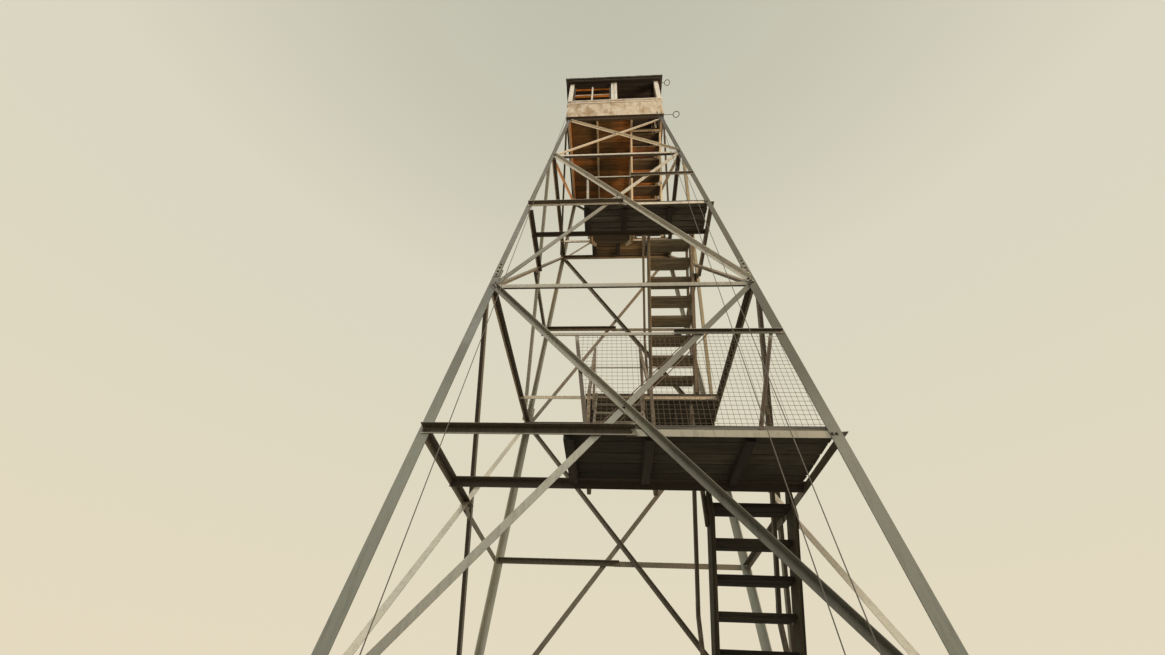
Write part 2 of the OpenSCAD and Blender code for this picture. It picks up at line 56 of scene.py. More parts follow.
FLIGHT_W, FLIGHT_X = (0.734, 0.64, 0.668, 0.64, 0.622), (1.24, -0.005, 0.88, -0.1, 0.718)
GROUND_SHIFT, GROUND_LIFT, GROUND_STEPS = 0.245, 0.03, 2
HANDRAIL_UP, RAIL_T, RAIL_D, NEWEL_D, NEWEL_OVER, POST_LAP = 0.88, 0.038, 0.07, 0.09, 0.01, 0.19
CAB_W, WALL_T, FLOOR_FRAME_H, FLOOR_T, JOIST_CAB, JOIST_OFF = 2.24, 0.08, 0.09, 0.032, 0.045, 0.4
SILL_UP, WINDOW_H, HEAD_H, CORNER_W, MULLION_W = 0.87, 1.15, 0.07, 0.09, 0.15
SASH_IN, SASH_T, SASH_RAIL_W = 0.030, 0.036, 0.045
EAVE, FASCIA_H, ROOF_T, ROOF_RISE, APEX, HATCH_L = 0.105, 0.095, 0.028, 0.32, 0.03, 0.96
# Gaps: between seated pieces, and between a board and the wall that it is nailed to
SEAT, NAILED = 0.0003, 0.0005

RISE = STOREY / RISERS
DECK_UP = GIRT_W / 2 + PLANK_T
IN_FACE = -LEG_T - BRACE_T
X_AXIS, UP = (1, 0, 0), (0, 0, 1)
SIDES = {0: "front", 90: "right", 180: "back", 270: "left"}


def level(k):
    return FOOTING + k * STOREY


def half_at(z):
    return BASE / 2 - BATTER * (z - FOOTING)


def up_face(z):
    return (z - FOOTING) / math.cos(LEAN)


def reach(v):
    return half_at(FOOTING + v * math.cos(LEAN)) - LEG_T - 2 * BRACE_T - BAR_GAP


def node_x(k):
    return half_at(level(k)) - LEG_W[k >= 3] / 2


def foot_v(a):
    return up_face(level(a)) + (FOOT_UP if a == 0 else 0)


def head_v(b):
    return up_face(level(b)) - (HEAD_DOWN if b == 5 else 0)


def spin(turn):
    """Matrix that turns the front to another side."""
    return Matrix.Rotation(math.radians(turn), 4, "Z")


def side(turn):
    """Matrix from one side's plane (x across, y up the slope, z outward) to the frame."""
    m = (spin(turn) @ Matrix.Translation((0, -BASE / 2, FOOTING))
         @ Matrix.Rotation(math.pi / 2 - LEAN, 4, "X"))
    return m @ Matrix.Diagonal((-1, 1, 1, 1)) if turn == 270 else m


# ---- meshes
class Form:
    """Gathers closed shapes into one mesh, with a grain direction and a tone for each."""

    def __init__(self):
        self.verts, self.faces, self.grain, self.tone = [], [], [], []

    def add(self, verts, faces, matrix=None, grain=None, tone=0.5):
        base = len(self.verts)
        flip = matrix is not None and matrix.determinant() < 0
        for v in verts:
            v = Vector(v)
            self.verts.append(matrix @ v if matrix is not None else v)
        for g in grain if grain is not None else verts:
            self.grain.append(Vector(g))
        self.tone += [tone] * len(verts)
        for f in faces:
            f = [base + i for i in f]
            self.faces.append(f[::-1] if flip else f)

    def loft(self, rings, matrix=None, grain=None, tone=0.5):
        """Closed solid through rings of the same number of points."""
        n, verts, faces = len(rings[0]), [p for r in rings for p in r], []
        for i in range(len(rings) - 1):
            for j in range(n):
                a, b = i * n + j, i * n + (j + 1) % n
                faces.append((a, b, b + n, a + n))
        faces.append(tuple(range(n - 1, -1, -1)))
        last = (len(rings) - 1) * n
        faces.append(tuple(range(last, last + n)))
        self.add(verts, faces, matrix, grain, tone)

    def prism(self, sides, radius, z0, z1, matrix, turn=0.0, top=None):
        angles = [turn + math.tau * i / sides for i in range(sides)]
        self.loft([[(r * math.cos(a), r * math.sin(a), z) for a in angles]
                   for r, z in ((radius, z0), (radius if top is None else top, z1))], matrix)

    def board(self, length, width, thick, matrix, rnd, chamfer=0.003, wobble=0.0012, ragged=0.004,
              tone=None):
        """Weathered board along local x, centred on y and z, with worn edges and uneven ends."""
        c = min(chamfer, thick * 0.3, width * 0.3)
        w, t = width / 2, thick / 2
        ring = ((-w + c, -t), (w - c, -t), (w, -t + c), (w, t - c),
                (w - c, t), (-w + c, t), (-w, t - c), (-w, -t + c))
        ring_step = 0.16
        n = max(2, round(length / ring_step) + 1)
        seed = rnd.random() * 40
        rings, grain = [], []
        for i in range(n):
            x = length * i / (n - 1)
            drift_y = wobble * noise.noise((x * 1.7, seed, 0.3))
            drift_z = wobble * 0.6 * noise.noise((x * 2.1, seed, 7.1))
            pts = []
            for j, (y, z) in enumerate(ring):
                dx = ragged * (rnd.random() - 0.2) if i in (0, n - 1) else 0
                wear = 1 - 0.5 * c / w * rnd.random() if j % 2 == 0 else 1
                xx = x + dx if i == 0 else x - dx
                pts.append((xx, (y + drift_y * (1 - abs(y) / w * 0.2)) * wear, z + drift_z))
                grain.append((xx + seed, y + seed * 0.37, z + seed * 0.11))
            rings.append(pts)
        self.loft(rings, matrix, grain, rnd.random() if tone is None else tone)

    def make(self, name, material, slot, replaces=()):
        mesh = bpy.data.meshes.new(name)
        mesh.from_pydata(self.verts, [], self.faces)
        grain = mesh.attributes.new("grain", "FLOAT_VECTOR", "POINT")
        grain.data.foreach_set("vector", [x for g in self.grain for x in g])
        tone = mesh.attributes.new("tone", "FLOAT", "POINT")
        tone.data.foreach_set("value", self.tone)
        mesh.update()
        obj = bpy.data.objects.new(name, mesh)
        bpy.context.scene.collection.objects.link(obj)
        mesh.materials.append(material)
        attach(obj, "root")
        if replaces:
            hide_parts(*replaces)
        return obj


def placed(origin, along, up):
    """Matrix whose x runs along and whose z is as near to up as it can be."""
    x = Vector(along).normalized()
    z = (Vector(up) - Vector(up).dot(x) * x).normalized()
    y = z.cross(x)
    m = Matrix((x, y, z)).transposed().to_4x4()
    m.translation = Vector(origin)
    return m


# ---- materials
UNDER_SHADE, TOP_GREY = (0.05, 0.038, 0.026), (0.3, 0.27, 0.215)
RAMP_TOP = 13.0


def dim(colour, share):
    return tuple(c * share for c in colour)


class Tree:
    """Shorthand for building the node tree of a material or world."""

    def __init__(self, owner):
        owner.use_nodes = True
        self.tree = owner.node_tree

    def node(self, kind, inputs=(), out=0, **props):
        n = self.tree.nodes.new("ShaderNode" + kind)
        for k, v in props.items():
            setattr(n, k, v)
        for k, v in dict(inputs).items():
            self.put(n.inputs[k], v)
        return n.outputs[out]

    def put(self, socket, value):
        if isinstance(value, bpy.types.NodeSocket):
            self.tree.links.new(value, socket)
        elif isinstance(value, (tuple, list)) and socket.type == "RGBA" and len(value) == 3:
            socket.default_value = (*value, 1)
        else:
            socket.default_value = value

    def ramp(self, fac, *stops):
        out = self.node("ValToRGB", {"Fac": fac})
        els = out.node.color_ramp.elements
        while len(els) < len(stops):
            els.new(0.5)
        for e, (p, c) in zip(els, stops):
            e.position = p
            e.color = (*c, 1) if isinstance(c, tuple) else (c, c, c, 1)
        return out

    def mix(self, fac, a, b, blend="MIX"):
        n = self.tree.nodes.new("ShaderNodeMix")
        n.data_type, n.blend_type = "RGBA", blend
        self.put(n.inputs[0], fac)
        self.put(n.inputs[6], a)
        self.put(n.inputs[7], b)
        return n.outputs[2]

    def math(self, op, a, b=0.0):
        return self.node("Math", {0: a, 1: b}, operation=op)

    def times(self, a, b):
        return self.math("MULTIPLY", a, b)

    def axis(self, vector, i):
        return self.node("SeparateXYZ", {0: vector}, out=i)

    def seen(self):
        """1 for what is seen, directly or in or through a surface, and 0 for light that bounces."""
        path = self.node("LightPath").node.outputs
        first = self.math("MAXIMUM", path["Is Camera Ray"], path["Is Glossy Ray"])
        return self.math("MAXIMUM", first, path["Is Transmission Ray"])


class Shade(Tree):
    """A material around one Principled shader."""

    def __init__(self, name):
        self.material = bpy.data.materials.new(name)
        super().__init__(self.material)
        self.bsdf = self.tree.nodes["Principled BSDF"]

    def set(self, **values):
        for k, v in values.items():
            self.put(self.bsdf.inputs[k.replace("_", " ")], v)

    def noise(self, where, scale, detail=4.0, rough=0.55, distort=0.0):
        return self.node("TexNoise", {"Vector": where, "Scale": scale, "Detail": detail,
                                      "Roughness": rough, "Distortion": distort})

    def stretch(self, where, scale):
        return self.node("Mapping", {"Vector": where, "Scale": scale})

    def scale(self, value, low, high, to_low=0.0, to_high=1.0):
        return self.node("MapRange", {"Value": value, "From Min": low, "From Max": high,
                                      "To Min": to_low, "To Max": to_high})

    def bump(self, height, distance, strength=1.0):
        return self.node("Bump", {"Height": height, "Distance": distance, "Strength": strength})

    def place(self):
        return self.node("TexCoord", out=3)

    def facing(self, i):
        return self.axis(self.node("NewGeometry", out=1), i)

    def grain(self):
        return self.node("Attribute", out=1, attribute_name="grain")


def steel(name, *stops, under_shade=UNDER_SHADE, rust=0.35, rough=0.6, under=(-0.22, -0.6), stained=None,
          rough_skin=0.5):
    """Galvanised steel that has dulled. Stops are heights, each with the colour there; how the
    colour changes with height paints the light and shade on the part. Under says from which slope
    on the faces that look down are painted dark, as painted shade. The dark left band is the lowest
    and the highest height of a member whose left half is turned dark brown."""
    s = Shade(name)
    at = s.place()
    body = s.ramp(s.scale(s.axis(at, 2), 0.0, RAMP_TOP),
                  *((z / RAMP_TOP, tuple(colour)) for z, *colour in stops))
    patches = s.noise(at, 2.3, 5, 0.6)
    lighter = s.mix(1.0, body, (1.32, 1.3, 1.26), "MULTIPLY")
    body = s.mix(s.scale(patches, 0.38, 0.7, 0, 0.6), body, lighter)
    spangle = s.node("TexVoronoi", {"Vector": at, "Scale": 70.0}, out=1)
    body = s.mix(0.05, body, spangle, "SOFT_LIGHT")
    streaks = s.noise(s.stretch(at, (34, 34, 2.2)), 1.0, 5, 0.6)
    body = s.mix(s.scale(streaks, 0.5, 0.78, 0, 0.55), body, dim(stops[0][1:], 0.55))
    speck = s.scale(s.noise(at, 55, 3, 0.7), 0.6, 0.76, 0, 0.6)
    body = s.mix(speck, body, s.mix(1.0, body, (0.62, 0.54, 0.46), "MULTIPLY"))
    blotch = s.noise(s.stretch(at, (3.0, 3.0, 1.6)), 1.0, 7, 0.68, 0.4)
    body = s.mix(s.scale(blotch, 0.58, 0.72, 0, rust), body, (0.15, 0.092, 0.05))
    # Faces that look down turn towards the dark underside colour: painted shade.
    body = s.mix(s.scale(s.facing(2), under[0], under[1], 0, 0.93), body, under_shade)
    # Between two heights, the left half of a member is turned dark brown.
    if stained:
        z, edge = s.axis(at, 2), 0.004
        low, high = stained
        band = s.times(s.scale(z, low, low + edge), s.scale(z, high + edge, high))
        band = s.times(band, s.scale(s.axis(at, 0), 0.06, 0.055, 0, 0.92))
        brown = s.mix(s.scale(streaks, 0.35, 0.7), (0.085, 0.06, 0.034), (0.038, 0.026, 0.016))
        body = s.mix(band, body, brown)
    s.set(Base_Color=body, Metallic=0.2,
          Roughness=s.scale(patches, 0.3, 0.7, rough - 0.1, rough + 0.14),
          Normal=s.bump(s.noise(at, 90, 4, 0.6), 0.0006, rough_skin))
    return s.material


def wood(name, dark, light, ends=None, top=TOP_GREY, fresh=None, spread=(0.72, 1.18), warm=None):
    """Weathered wood. Top colours the faces that look up, ends those to the front and the back,
    and fresh some of its boards. Spread is how much darker or lighter a board may be. Warm is the
    two places in x between which the wood turns to a third colour, and that colour."""
    s = Shade(name)
    grain = s.grain()
    tone = s.node("Attribute", out=2, attribute_name="tone")
    fine = s.noise(s.stretch(grain, (2.2, 75, 75)), 1.0, 6, 0.65, 0.25)
    broad = s.noise(s.stretch(grain, (1.3, 16, 16)), 1.0, 4, 0.6, 0.6)
    body = s.mix(s.scale(broad, 0.3, 0.72), dark, light)
    cracks = s.noise(s.stretch(grain, (0.9, 46, 46)), 1.0, 3, 0.5, 0.4)
    crack = s.ramp(cracks, (0.47, 0.0), (0.5, 1.0), (0.53, 0.0))
    patches = s.noise(s.place(), 2.6, 5, 0.65)

    def streaked(colour, share=0.6):
        return s.mix(s.scale(broad, 0.3, 0.7), dim(colour, share), colour)

    if fresh:
        body = s.mix(s.times(s.scale(tone, 0.55, 0.9), s.scale(patches, 0.38, 0.6)), body, fresh)
    if warm:
        start, full, colour = warm
        across = s.scale(s.axis(s.place(), 0), start, full)
        body = s.mix(s.times(across, s.scale(patches, 0.36, 0.62, 0.25, 0.95)), body,
                     streaked(colour, 0.5))
    if ends:
        facing = s.math("ABSOLUTE", s.facing(1))
        body = s.mix(s.scale(facing, 0.86, 0.95, 0, 0.9), body, streaked(ends))
    if top:
        up = s.times(s.scale(s.facing(2), 0.1, 0.8), s.scale(patches, 0.25, 0.6, 0.45, 1.0))
        body = s.mix(up, body, streaked(top))
    body = s.mix(s.scale(fine, 0.42, 0.75, 0, 0.6), body,
                 s.mix(1.0, body, (0.36, 0.34, 0.32), "MULTIPLY"))
    lo, hi = spread
    body = s.mix(1.0, body, s.mix(tone, (lo, lo, lo), (hi, hi * 0.98, hi * 0.94)), "MULTIPLY")
    body = s.mix(s.times(crack, 0.7), body, dim(dark, 0.2))
    height = s.math("SUBTRACT", s.times(fine, -0.6), crack)
    s.set(Base_Color=body, Roughness=0.88, Normal=s.bump(height, 0.0016, 0.8),
          Specular_IOR_Level=0.25)
    return s.material


def paint(name, coat, under, dirt, bare, soft, scale, by_grain=True, worn=0.0):
    """Old paint that has peeled off boards in flakes. Bare is the noise level above which it is
    gone, soft how gradually it thins to the wood, and worn how much more is gone to the left."""
    s = Shade(name)
    at = s.place()
    where = s.stretch(s.grain(), (1.5, 60, 60)) if by_grain else s.stretch(at, (40, 40, 2.2))
    wood_lines = s.noise(where, 1.0, 5, 0.6, 0.3)
    bare_wood = s.mix(s.scale(wood_lines, 0.35, 0.7), dim(under, 0.55), under)
    flakes = s.noise(at if by_grain else s.stretch(at, (1.3, 1.3, 0.6)), scale, 9, 0.62, 0.1)
    edge = s.math("ADD", flakes, s.scale(wood_lines, 0.3, 0.7, -0.07, 0.07))
    if worn:
        edge = s.math("ADD", edge, s.scale(s.axis(at, 0), 0.3, -1.1, 0, worn))
    mask = s.scale(edge, bare, bare + soft)
    stain = s.noise(s.stretch(at, (5, 5, 1.6)), 1.0, 6, 0.6)
    coat_colour = s.mix(s.scale(stain, 0.38, 0.7, 0, 0.85), coat, dirt)
    cloud = s.noise(at, 13, 6, 0.7)
    coat_colour = s.mix(s.scale(cloud, 0.5, 0.72, 0, 0.5), coat_colour, dim(dirt, 0.62))
    body = s.mix(mask, coat_colour, bare_wood)
    # On the walls, faces that look down are turned near black: painted shade, as under the window
    # heads.
    if not by_grain:
        body = s.mix(s.scale(s.facing(2), -0.4, -0.8, 0, 0.95), body, (0.024, 0.017, 0.011))
    height = s.math("ADD", s.times(mask, -1.0), s.times(wood_lines, 0.3))
    s.set(Base_Color=body, Roughness=s.scale(mask, 0, 1, 0.6, 0.9),
          Normal=s.bump(height, 0.0012, 0.9), Specular_IOR_Level=0.3)
    return s.material


def concrete(name):
    s = Shade(name)
    at = s.place()
    body = s.mix(s.scale(s.noise(at, 3.5, 8, 0.65), 0.3, 0.7),
                 (0.3, 0.29, 0.26), (0.47, 0.46, 0.42))
    body = s.mix(s.scale(s.noise(at, 60, 4, 0.7), 0.55, 0.7, 0, 0.6), body, (0.2, 0.19, 0.17))
    body = s.mix(s.scale(s.axis(at, 2), 0.12, 0.0, 0, 0.7), body, (0.17, 0.15, 0.11))
    pits = s.scale(s.noise(at, 42, 3, 0.5), 0.66, 0.74)
    lifts = s.node("TexWave", {"Vector": at, "Scale": 3.2, "Distortion": 1.5, "Detail": 3.0},
                   bands_direction="Z")
    height = s.math("SUBTRACT", s.times(lifts, 0.5), pits)
    s.set(Base_Color=body, Roughness=0.9, Normal=s.bump(height, 0.004, 0.7))
    return s.material


def felt(name):
    s = Shade(name)
    at = s.place()
    body = s.mix(s.scale(s.noise(at, 3.0, 7, 0.65), 0.3, 0.7),
                 (0.024, 0.019, 0.013), (0.06, 0.052, 0.038))
    grit = s.noise(at, 260, 2, 0.6)
    body = s.mix(s.scale(grit, 0.5, 0.7, 0, 0.35), body, (0.13, 0.12, 0.1))
    bleached = s.mix(s.scale(s.noise(at, 1.6, 6, 0.6), 0.35, 0.65),
                     (0.06, 0.056, 0.048), (0.145, 0.135, 0.115))
    body = s.mix(s.scale(s.facing(2), 0.3, 0.9, 0, 0.75), body, bleached)
    s.set(Base_Color=body, Roughness=0.92, Normal=s.bump(grit, 0.0015, 0.8))
    return s.material


# Slopes from which the underside of a bar is painted dark, as painted shade: only faces that look
# nearly straight down
FLAT, FLATTER = (-0.84, -0.96), (-0.9, -0.99)


def flat_steel(name, *stops, rust=0.3, **more):
    return steel(name, *stops, rust=rust, under=FLAT, **more)


# The steels for the legs, lattices, beams and rails below are copies that differ in their colours
# by height and by part: the colours paint the light and shade that fall there.
LEG = steel("leg_zinc", (1.0, 0.18, 0.182, 0.146), (2.3, 0.185, 0.186, 0.148),
            (3.2, 0.12, 0.121, 0.095), (7.5, 0.105, 0.097, 0.07), (11.0, 0.08, 0.072, 0.05),
            rust=0.2)
FRONT = flat_steel(
    "front_zinc", (1.0, 0.19, 0.182, 0.14), (2.6, 0.33, 0.3, 0.225), (3.55, 0.34, 0.305, 0.23),
    (3.9, 0.16, 0.15, 0.11), (4.4, 0.14, 0.13, 0.092), (4.75, 0.43, 0.395, 0.315),
    (7.4, 0.52, 0.46, 0.35), (8.6, 0.42, 0.365, 0.275), (9.0, 0.5, 0.44, 0.34),
    (11.0, 0.48, 0.405, 0.29), stained=(level(1) - GIRT_W / 2 + 0.01, level(1) + GIRT_W / 2 + 0.03))
# The front's diagonals get a copy for each panel, inner and outer: its colours paint their light
# and shade, light and warm on the outer top ones, where the low sun falls.
FRONT_BARS = {
    (0, False): flat_steel("front_in_low", (0.4, 0.215, 0.21, 0.165), (2.2, 0.33, 0.315, 0.25),
                           (3.0, 0.19, 0.18, 0.138), (4.5, 0.115, 0.11, 0.082), rust=0.2),
    (1, False): flat_steel("front_in_middle", (4.6, 0.14, 0.132, 0.1), (6.4, 0.19, 0.175, 0.13),
                           (7.2, 0.43, 0.385, 0.295), (8.8, 0.4, 0.345, 0.255)),
    (2, False): flat_steel("front_in_top", (8.8, 0.5, 0.43, 0.325), (11.0, 0.43, 0.35, 0.245)),
    (0, True): flat_steel("front_out_low", (0.4, 0.085, 0.083, 0.064), (2.2, 0.13, 0.124, 0.094),
                          (2.9, 0.32, 0.295, 0.225), (3.6, 0.25, 0.232, 0.178),
                          (4.5, 0.125, 0.116, 0.084)),
    (1, True): flat_steel("front_out_middle", (4.6, 0.52, 0.48, 0.385), (6.0, 0.4, 0.36, 0.275),
                          (8.8, 0.46, 0.405, 0.305)),
    (2, True): flat_steel("front_out_top", (8.8, 0.52, 0.47, 0.37), (9.2, 0.76, 0.64, 0.46),
                          (11.0, 0.8, 0.66, 0.46)),
}
BRACE = steel("brace_zinc", (1.0, 0.12, 0.106, 0.075), (4.0, 0.19, 0.16, 0.112),
              (7.5, 0.22, 0.172, 0.112), (11.0, 0.3, 0.235, 0.15),
              under_shade=(0.044, 0.031, 0.02), rust=0.4, under=(-0.12, -0.45))
RIGHT_LEG = steel("right_leg_zinc", (1.0, 0.19, 0.192, 0.154), (2.3, 0.185, 0.186, 0.148),
                  (3.2, 0.096, 0.095, 0.074), (7.5, 0.072, 0.068, 0.05),
                  (11.0, 0.064, 0.058, 0.042), rust=0.2)
BACK_LEG = flat_steel("back_leg_zinc", (1.0, 0.34, 0.345, 0.285), (2.4, 0.32, 0.32, 0.255),
                      (4.5, 0.25, 0.236, 0.178), (8.0, 0.25, 0.222, 0.16),
                      (11.0, 0.17, 0.145, 0.102), rust=0.2)
# Copies for single diagonals of the side lattices, whose colours paint their light and shade; CREAM
# and WARM paint the low sun's light near the top, WARM in orange.
PALE = flat_steel("pale_zinc", (1.0, 0.44, 0.412, 0.325), (4.5, 0.4, 0.365, 0.28), rust=0.25,
                  rough_skin=0.1)
OLIVE = flat_steel("olive_zinc", (4.5, 0.33, 0.305, 0.228), (9.0, 0.31, 0.28, 0.205))
CREAM = steel("cream_zinc", (8.8, 0.56, 0.48, 0.345), (11.0, 0.56, 0.48, 0.345), rust=0.2,
              under=FLATTER)
WARM = steel("warm_zinc", (8.8, 0.7, 0.41, 0.19), (11.0, 0.74, 0.45, 0.22), rust=0.1,
             under=FLATTER)
# The landing beams are dark at the heights of landings 1 and 3: painted shade under those decks.
BEAM = steel("beam_zinc", (3.4, 0.06, 0.048, 0.034), (3.6, 0.4, 0.345, 0.25),
             (5.6, 0.4, 0.345, 0.25), (5.8, 0.066, 0.052, 0.036), (7.8, 0.066, 0.052, 0.036),
             (8.0, 0.46, 0.39, 0.28), rust=0.5)
RAILING = steel("railing_zinc", (3.55, 0.085, 0.062, 0.04), (3.63, 0.29, 0.262, 0.2),
                (8.0, 0.36, 0.315, 0.235), under_shade=(0.034, 0.025, 0.018), rust=0.45)
BOLT = steel("bolt_steel", (0.0, 0.05, 0.042, 0.034), (13.0, 0.075, 0.06, 0.045),
             under_shade=(0.03, 0.024, 0.018))
PLATE = steel("gusset_zinc", (1.0, 0.24, 0.235, 0.19), (5.0, 0.17, 0.162, 0.125),
              (11.0, 0.3, 0.265, 0.2), rust=0.3)
WIRE = steel("wire_steel", (0.0, 0.105, 0.094, 0.074), (9.0, 0.08, 0.07, 0.055),
             (10.9, 0.02, 0.017, 0.014), under_shade=(0.035, 0.028, 0.021), rust=0.3)
MESH = steel("mesh_wire", (2.0, 0.15, 0.105, 0.065), (5.0, 0.15, 0.105, 0.065),
             under_shade=(0.05, 0.034, 0.02), rust=0.5, rough=0.75)
# One copy of the wood for each landing and each flight: their brightness paints the light and shade
# on them. The lowest are darkest, in deep shade; the decks, stringers and rails near the cab are
# lighter and warmer, where the low sun falls.
DECKS = [
    wood("deck_boards_1", (0.026, 0.023, 0.016), (0.062, 0.056, 0.041), (0.26, 0.235, 0.18),
         spread=(0.6, 1.25), warm=(0.0, 0.9, (0.155, 0.142, 0.106))),
    wood("deck_boards_2", (0.06, 0.054, 0.04), (0.125, 0.112, 0.082), (0.12, 0.105, 0.078),
         spread=(0.7, 1.2)),
    wood("deck_boards_3", (0.096, 0.084, 0.07), (0.215, 0.19, 0.158), (0.1, 0.085, 0.062),
         spread=(0.6, 1.25)),
    wood("deck_boards_4", (0.165, 0.11, 0.056), (0.34, 0.235, 0.132), (0.15, 0.115, 0.075),
         spread=(0.7, 1.2)),
]
JOIST = wood("joist_wood", (0.03, 0.026, 0.021), (0.078, 0.068, 0.052))
TREADS = [
    wood("tread_boards_a", (0.017, 0.014, 0.009), (0.043, 0.036, 0.023), (0.06, 0.05, 0.032)),
    wood("tread_boards_b", (0.11, 0.094, 0.066), (0.225, 0.198, 0.14), (0.27, 0.235, 0.17)),
    wood("tread_boards_c", (0.24, 0.2, 0.135), (0.47, 0.4, 0.28), (0.15, 0.125, 0.085)),
    wood("tread_boards_d", (0.11, 0.088, 0.056), (0.23, 0.185, 0.118), (0.27, 0.225, 0.155)),
    wood("tread_boards_e", (0.085, 0.056, 0.03), (0.19, 0.132, 0.075), (0.62, 0.46, 0.3),
         fresh=(0.42, 0.125, 0.04), spread=(0.6, 1.2)),
]
STRINGERS = [
    wood("stringer_boards_a", (0.04, 0.034, 0.02), (0.092, 0.078, 0.048), spread=(0.5, 1.5)),
    wood("stringer_boards_b", (0.13, 0.1, 0.066), (0.33, 0.27, 0.185), spread=(0.55, 1.25)),
    wood("stringer_boards_c", (0.18, 0.142, 0.095), (0.4, 0.325, 0.23), spread=(0.55, 1.25)),
    wood("stringer_boards_d", (0.33, 0.22, 0.105), (0.62, 0.48, 0.29), (0.66, 0.52, 0.33)),
    wood("stringer_boards_e", (0.74, 0.59, 0.4), (0.94, 0.81, 0.6), (0.94, 0.82, 0.62),
         spread=(0.92, 1.04)),
]
RAILS = [wood("rail_wood_" + tag, dim((0.135, 0.104, 0.068), share),
              dim((0.33, 0.272, 0.188), share), spread=(0.6, 1.3))
         for tag, share in (("a", 0.45), ("b", 1.0), ("c", 0.8), ("d", 1.0), ("e", 1.6))]
# The floor's orange towards +x paints the low sun's light on the cab floor.
FLOOR = wood("floor_boards", (0.085, 0.044, 0.015), (0.23, 0.13, 0.046), top=(0.16, 0.12, 0.08),
             fresh=(0.27, 0.105, 0.028), spread=(0.6, 1.3),
             warm=(-0.12, 0.3, (0.86, 0.33, 0.09)))
FLOOR_JOIST = wood("floor_joists", (0.33, 0.262, 0.18), (0.58, 0.48, 0.35),
                   (0.034, 0.026, 0.018), None)
FRONT_BEAM = wood("front_beam", (0.034, 0.025, 0.017), (0.092, 0.066, 0.042), top=None)
# Orange that paints the low sun's light on the inner face of the left floor beam.
RIM = wood("floor_rim", (0.62, 0.22, 0.05), (0.9, 0.42, 0.11), (0.17, 0.13, 0.085), None)
CEILING = wood("ceiling_boards", (0.022, 0.016, 0.013), (0.055, 0.04, 0.03),
               top=(0.06, 0.05, 0.04))
# Orange that paints the low sun's light on two ceiling boards.
GLOW = wood("ceiling_boards_sunlit", (0.88, 0.29, 0.045), (0.98, 0.43, 0.085),
            top=(0.1, 0.07, 0.04), spread=(0.95, 1.0))
SOFFIT = wood("soffit_boards", (0.075, 0.028, 0.018), (0.16, 0.066, 0.04), top=(0.06, 0.05, 0.04))
HEAD = wood("head_boards", (0.014, 0.01, 0.008), (0.034, 0.025, 0.019), top=(0.05, 0.04, 0.03))
SIDING = paint("peeling_siding", (0.62, 0.535, 0.39), (0.46, 0.31, 0.165), (0.5, 0.375, 0.225),
               0.485, 0.18, 4.2, by_grain=False, worn=0.07)
TRIM = paint("peeling_trim", (0.74, 0.69, 0.575), (0.33, 0.25, 0.16), (0.6, 0.52, 0.4),
             0.59, 0.08, 14)
APRON = paint("apron_paint", (0.62, 0.57, 0.48), (0.33, 0.25, 0.16), (0.47, 0.39, 0.29),
              0.62, 0.08, 9)
BAR = paint("bar_paint", (0.66, 0.62, 0.53), (0.35, 0.24, 0.15), (0.5, 0.42, 0.32), 0.66, 0.05, 14)
SASH = paint("sash_paint", (0.02, 0.014, 0.01), (0.026, 0.017, 0.011), (0.022, 0.016, 0.011),
             0.55, 0.08, 14)
CONCRETE = concrete("cast_concrete")
FELT = felt("roof_felt")

OWN = {"footings": CONCRETE, "roof": FELT, "landing_beams": BEAM, "mesh_1": MESH,
       "lattice_front": FRONT, "leg_front_right": RIGHT_LEG, "leg_back_left": BACK_LEG,
       "leg_back_right": BACK_LEG}
KINDS = (("leg_", LEG), ("lattice_", BRACE), ("railing_", RAILING), ("ground_wires", WIRE),
         ("ring_rods", WIRE), ("wall_", SIDING))
for name, node in nodes.items():
    material = OWN.get(name) or next((m for start, m in KINDS if name.startswith(start)), JOIST)
    node.data.materials.clear()
    node.data.materials.append(material)


# ---- landings
def edge_at(k):
    return LANDING_Y + (THIRD_BACK if k == 3 else 0)


def beam_at(k):
    return 0.08 if k == 1 else 0.06


def landing(k):
    rnd = random.Random(100 + k)
    top = level(k) + DECK_UP
    edge = half_at(top) + IN_FACE / math.cos(LEAN)
    depth = edge - edge_at(k)
    plank_w = (depth - (PLANK_N - 1) * PLANK_GAP) / PLANK_N
    s = 1 if k % 2 == 0 else -1
    form, joists = Form(), Form()
    for i in range(PLANK_N):
        y = s * (edge_at(k) + i * (plank_w + PLANK_GAP) + plank_w / 2)
        form.board(LANDING_LEFT + edge, plank_w, PLANK_T,
                   placed((-LANDING_LEFT, y, top - PLANK_T / 2), X_AXIS, UP),
                   rnd, chamfer=0.005, wobble=0.004, ragged=0.012)
    for j in JOISTS:
        x = (LANDING_LEFT + edge) * j - LANDING_LEFT + JOIST_W / 2
        y0 = edge_at(k) + beam_at(k)
        joists.board(depth - beam_at(k) - GIRT_W - BRACE_T, JOIST_W, JOIST_H,
                     placed((x, s * y0, top - PLANK_T - JOIST_H / 2), (0, s, 0), UP),
                     rnd, chamfer=0.004)
    form.make(f"deck_{k}", DECKS[k - 1], "dark_wood", (f"landing_{k}",))
    joists.make(f"deck_joists_{k}", JOIST, "dark_wood")


# ---- stairs
def flight_base(k):
    return 0 if k == 0 else level(k) + DECK_UP


def go(k):
    return (edge_at(3) + LANDING_Y) / RISERS if k == 3 else GOING


def slope(k):
    return RISE / go(k)


def tread_y(k, i):
    return -LANDING_Y + go(k) * (RISERS - i + (k % 2 == 0)) - (GROUND_SHIFT if k == 0 else 0)


def last_step(k):
    return RISERS - 1 if k in (0, 1, 3) else RISERS


def tread_top(k, i):
    return level(k) + DECK_UP + i * RISE + (GROUND_LIFT if k == 0 else 0)


def edge_z(k, y):
    return tread_top(k, 1) + STRINGER_ABOVE + (tread_y(k, 1) - y) * slope(k)


def edge_y(k, z):
    return tread_y(k, 1) - (z - tread_top(k, 1) - STRINGER_ABOVE) / slope(k)


def flight_way(k):
    return spin(0 if k % 2 == 0 else 180)


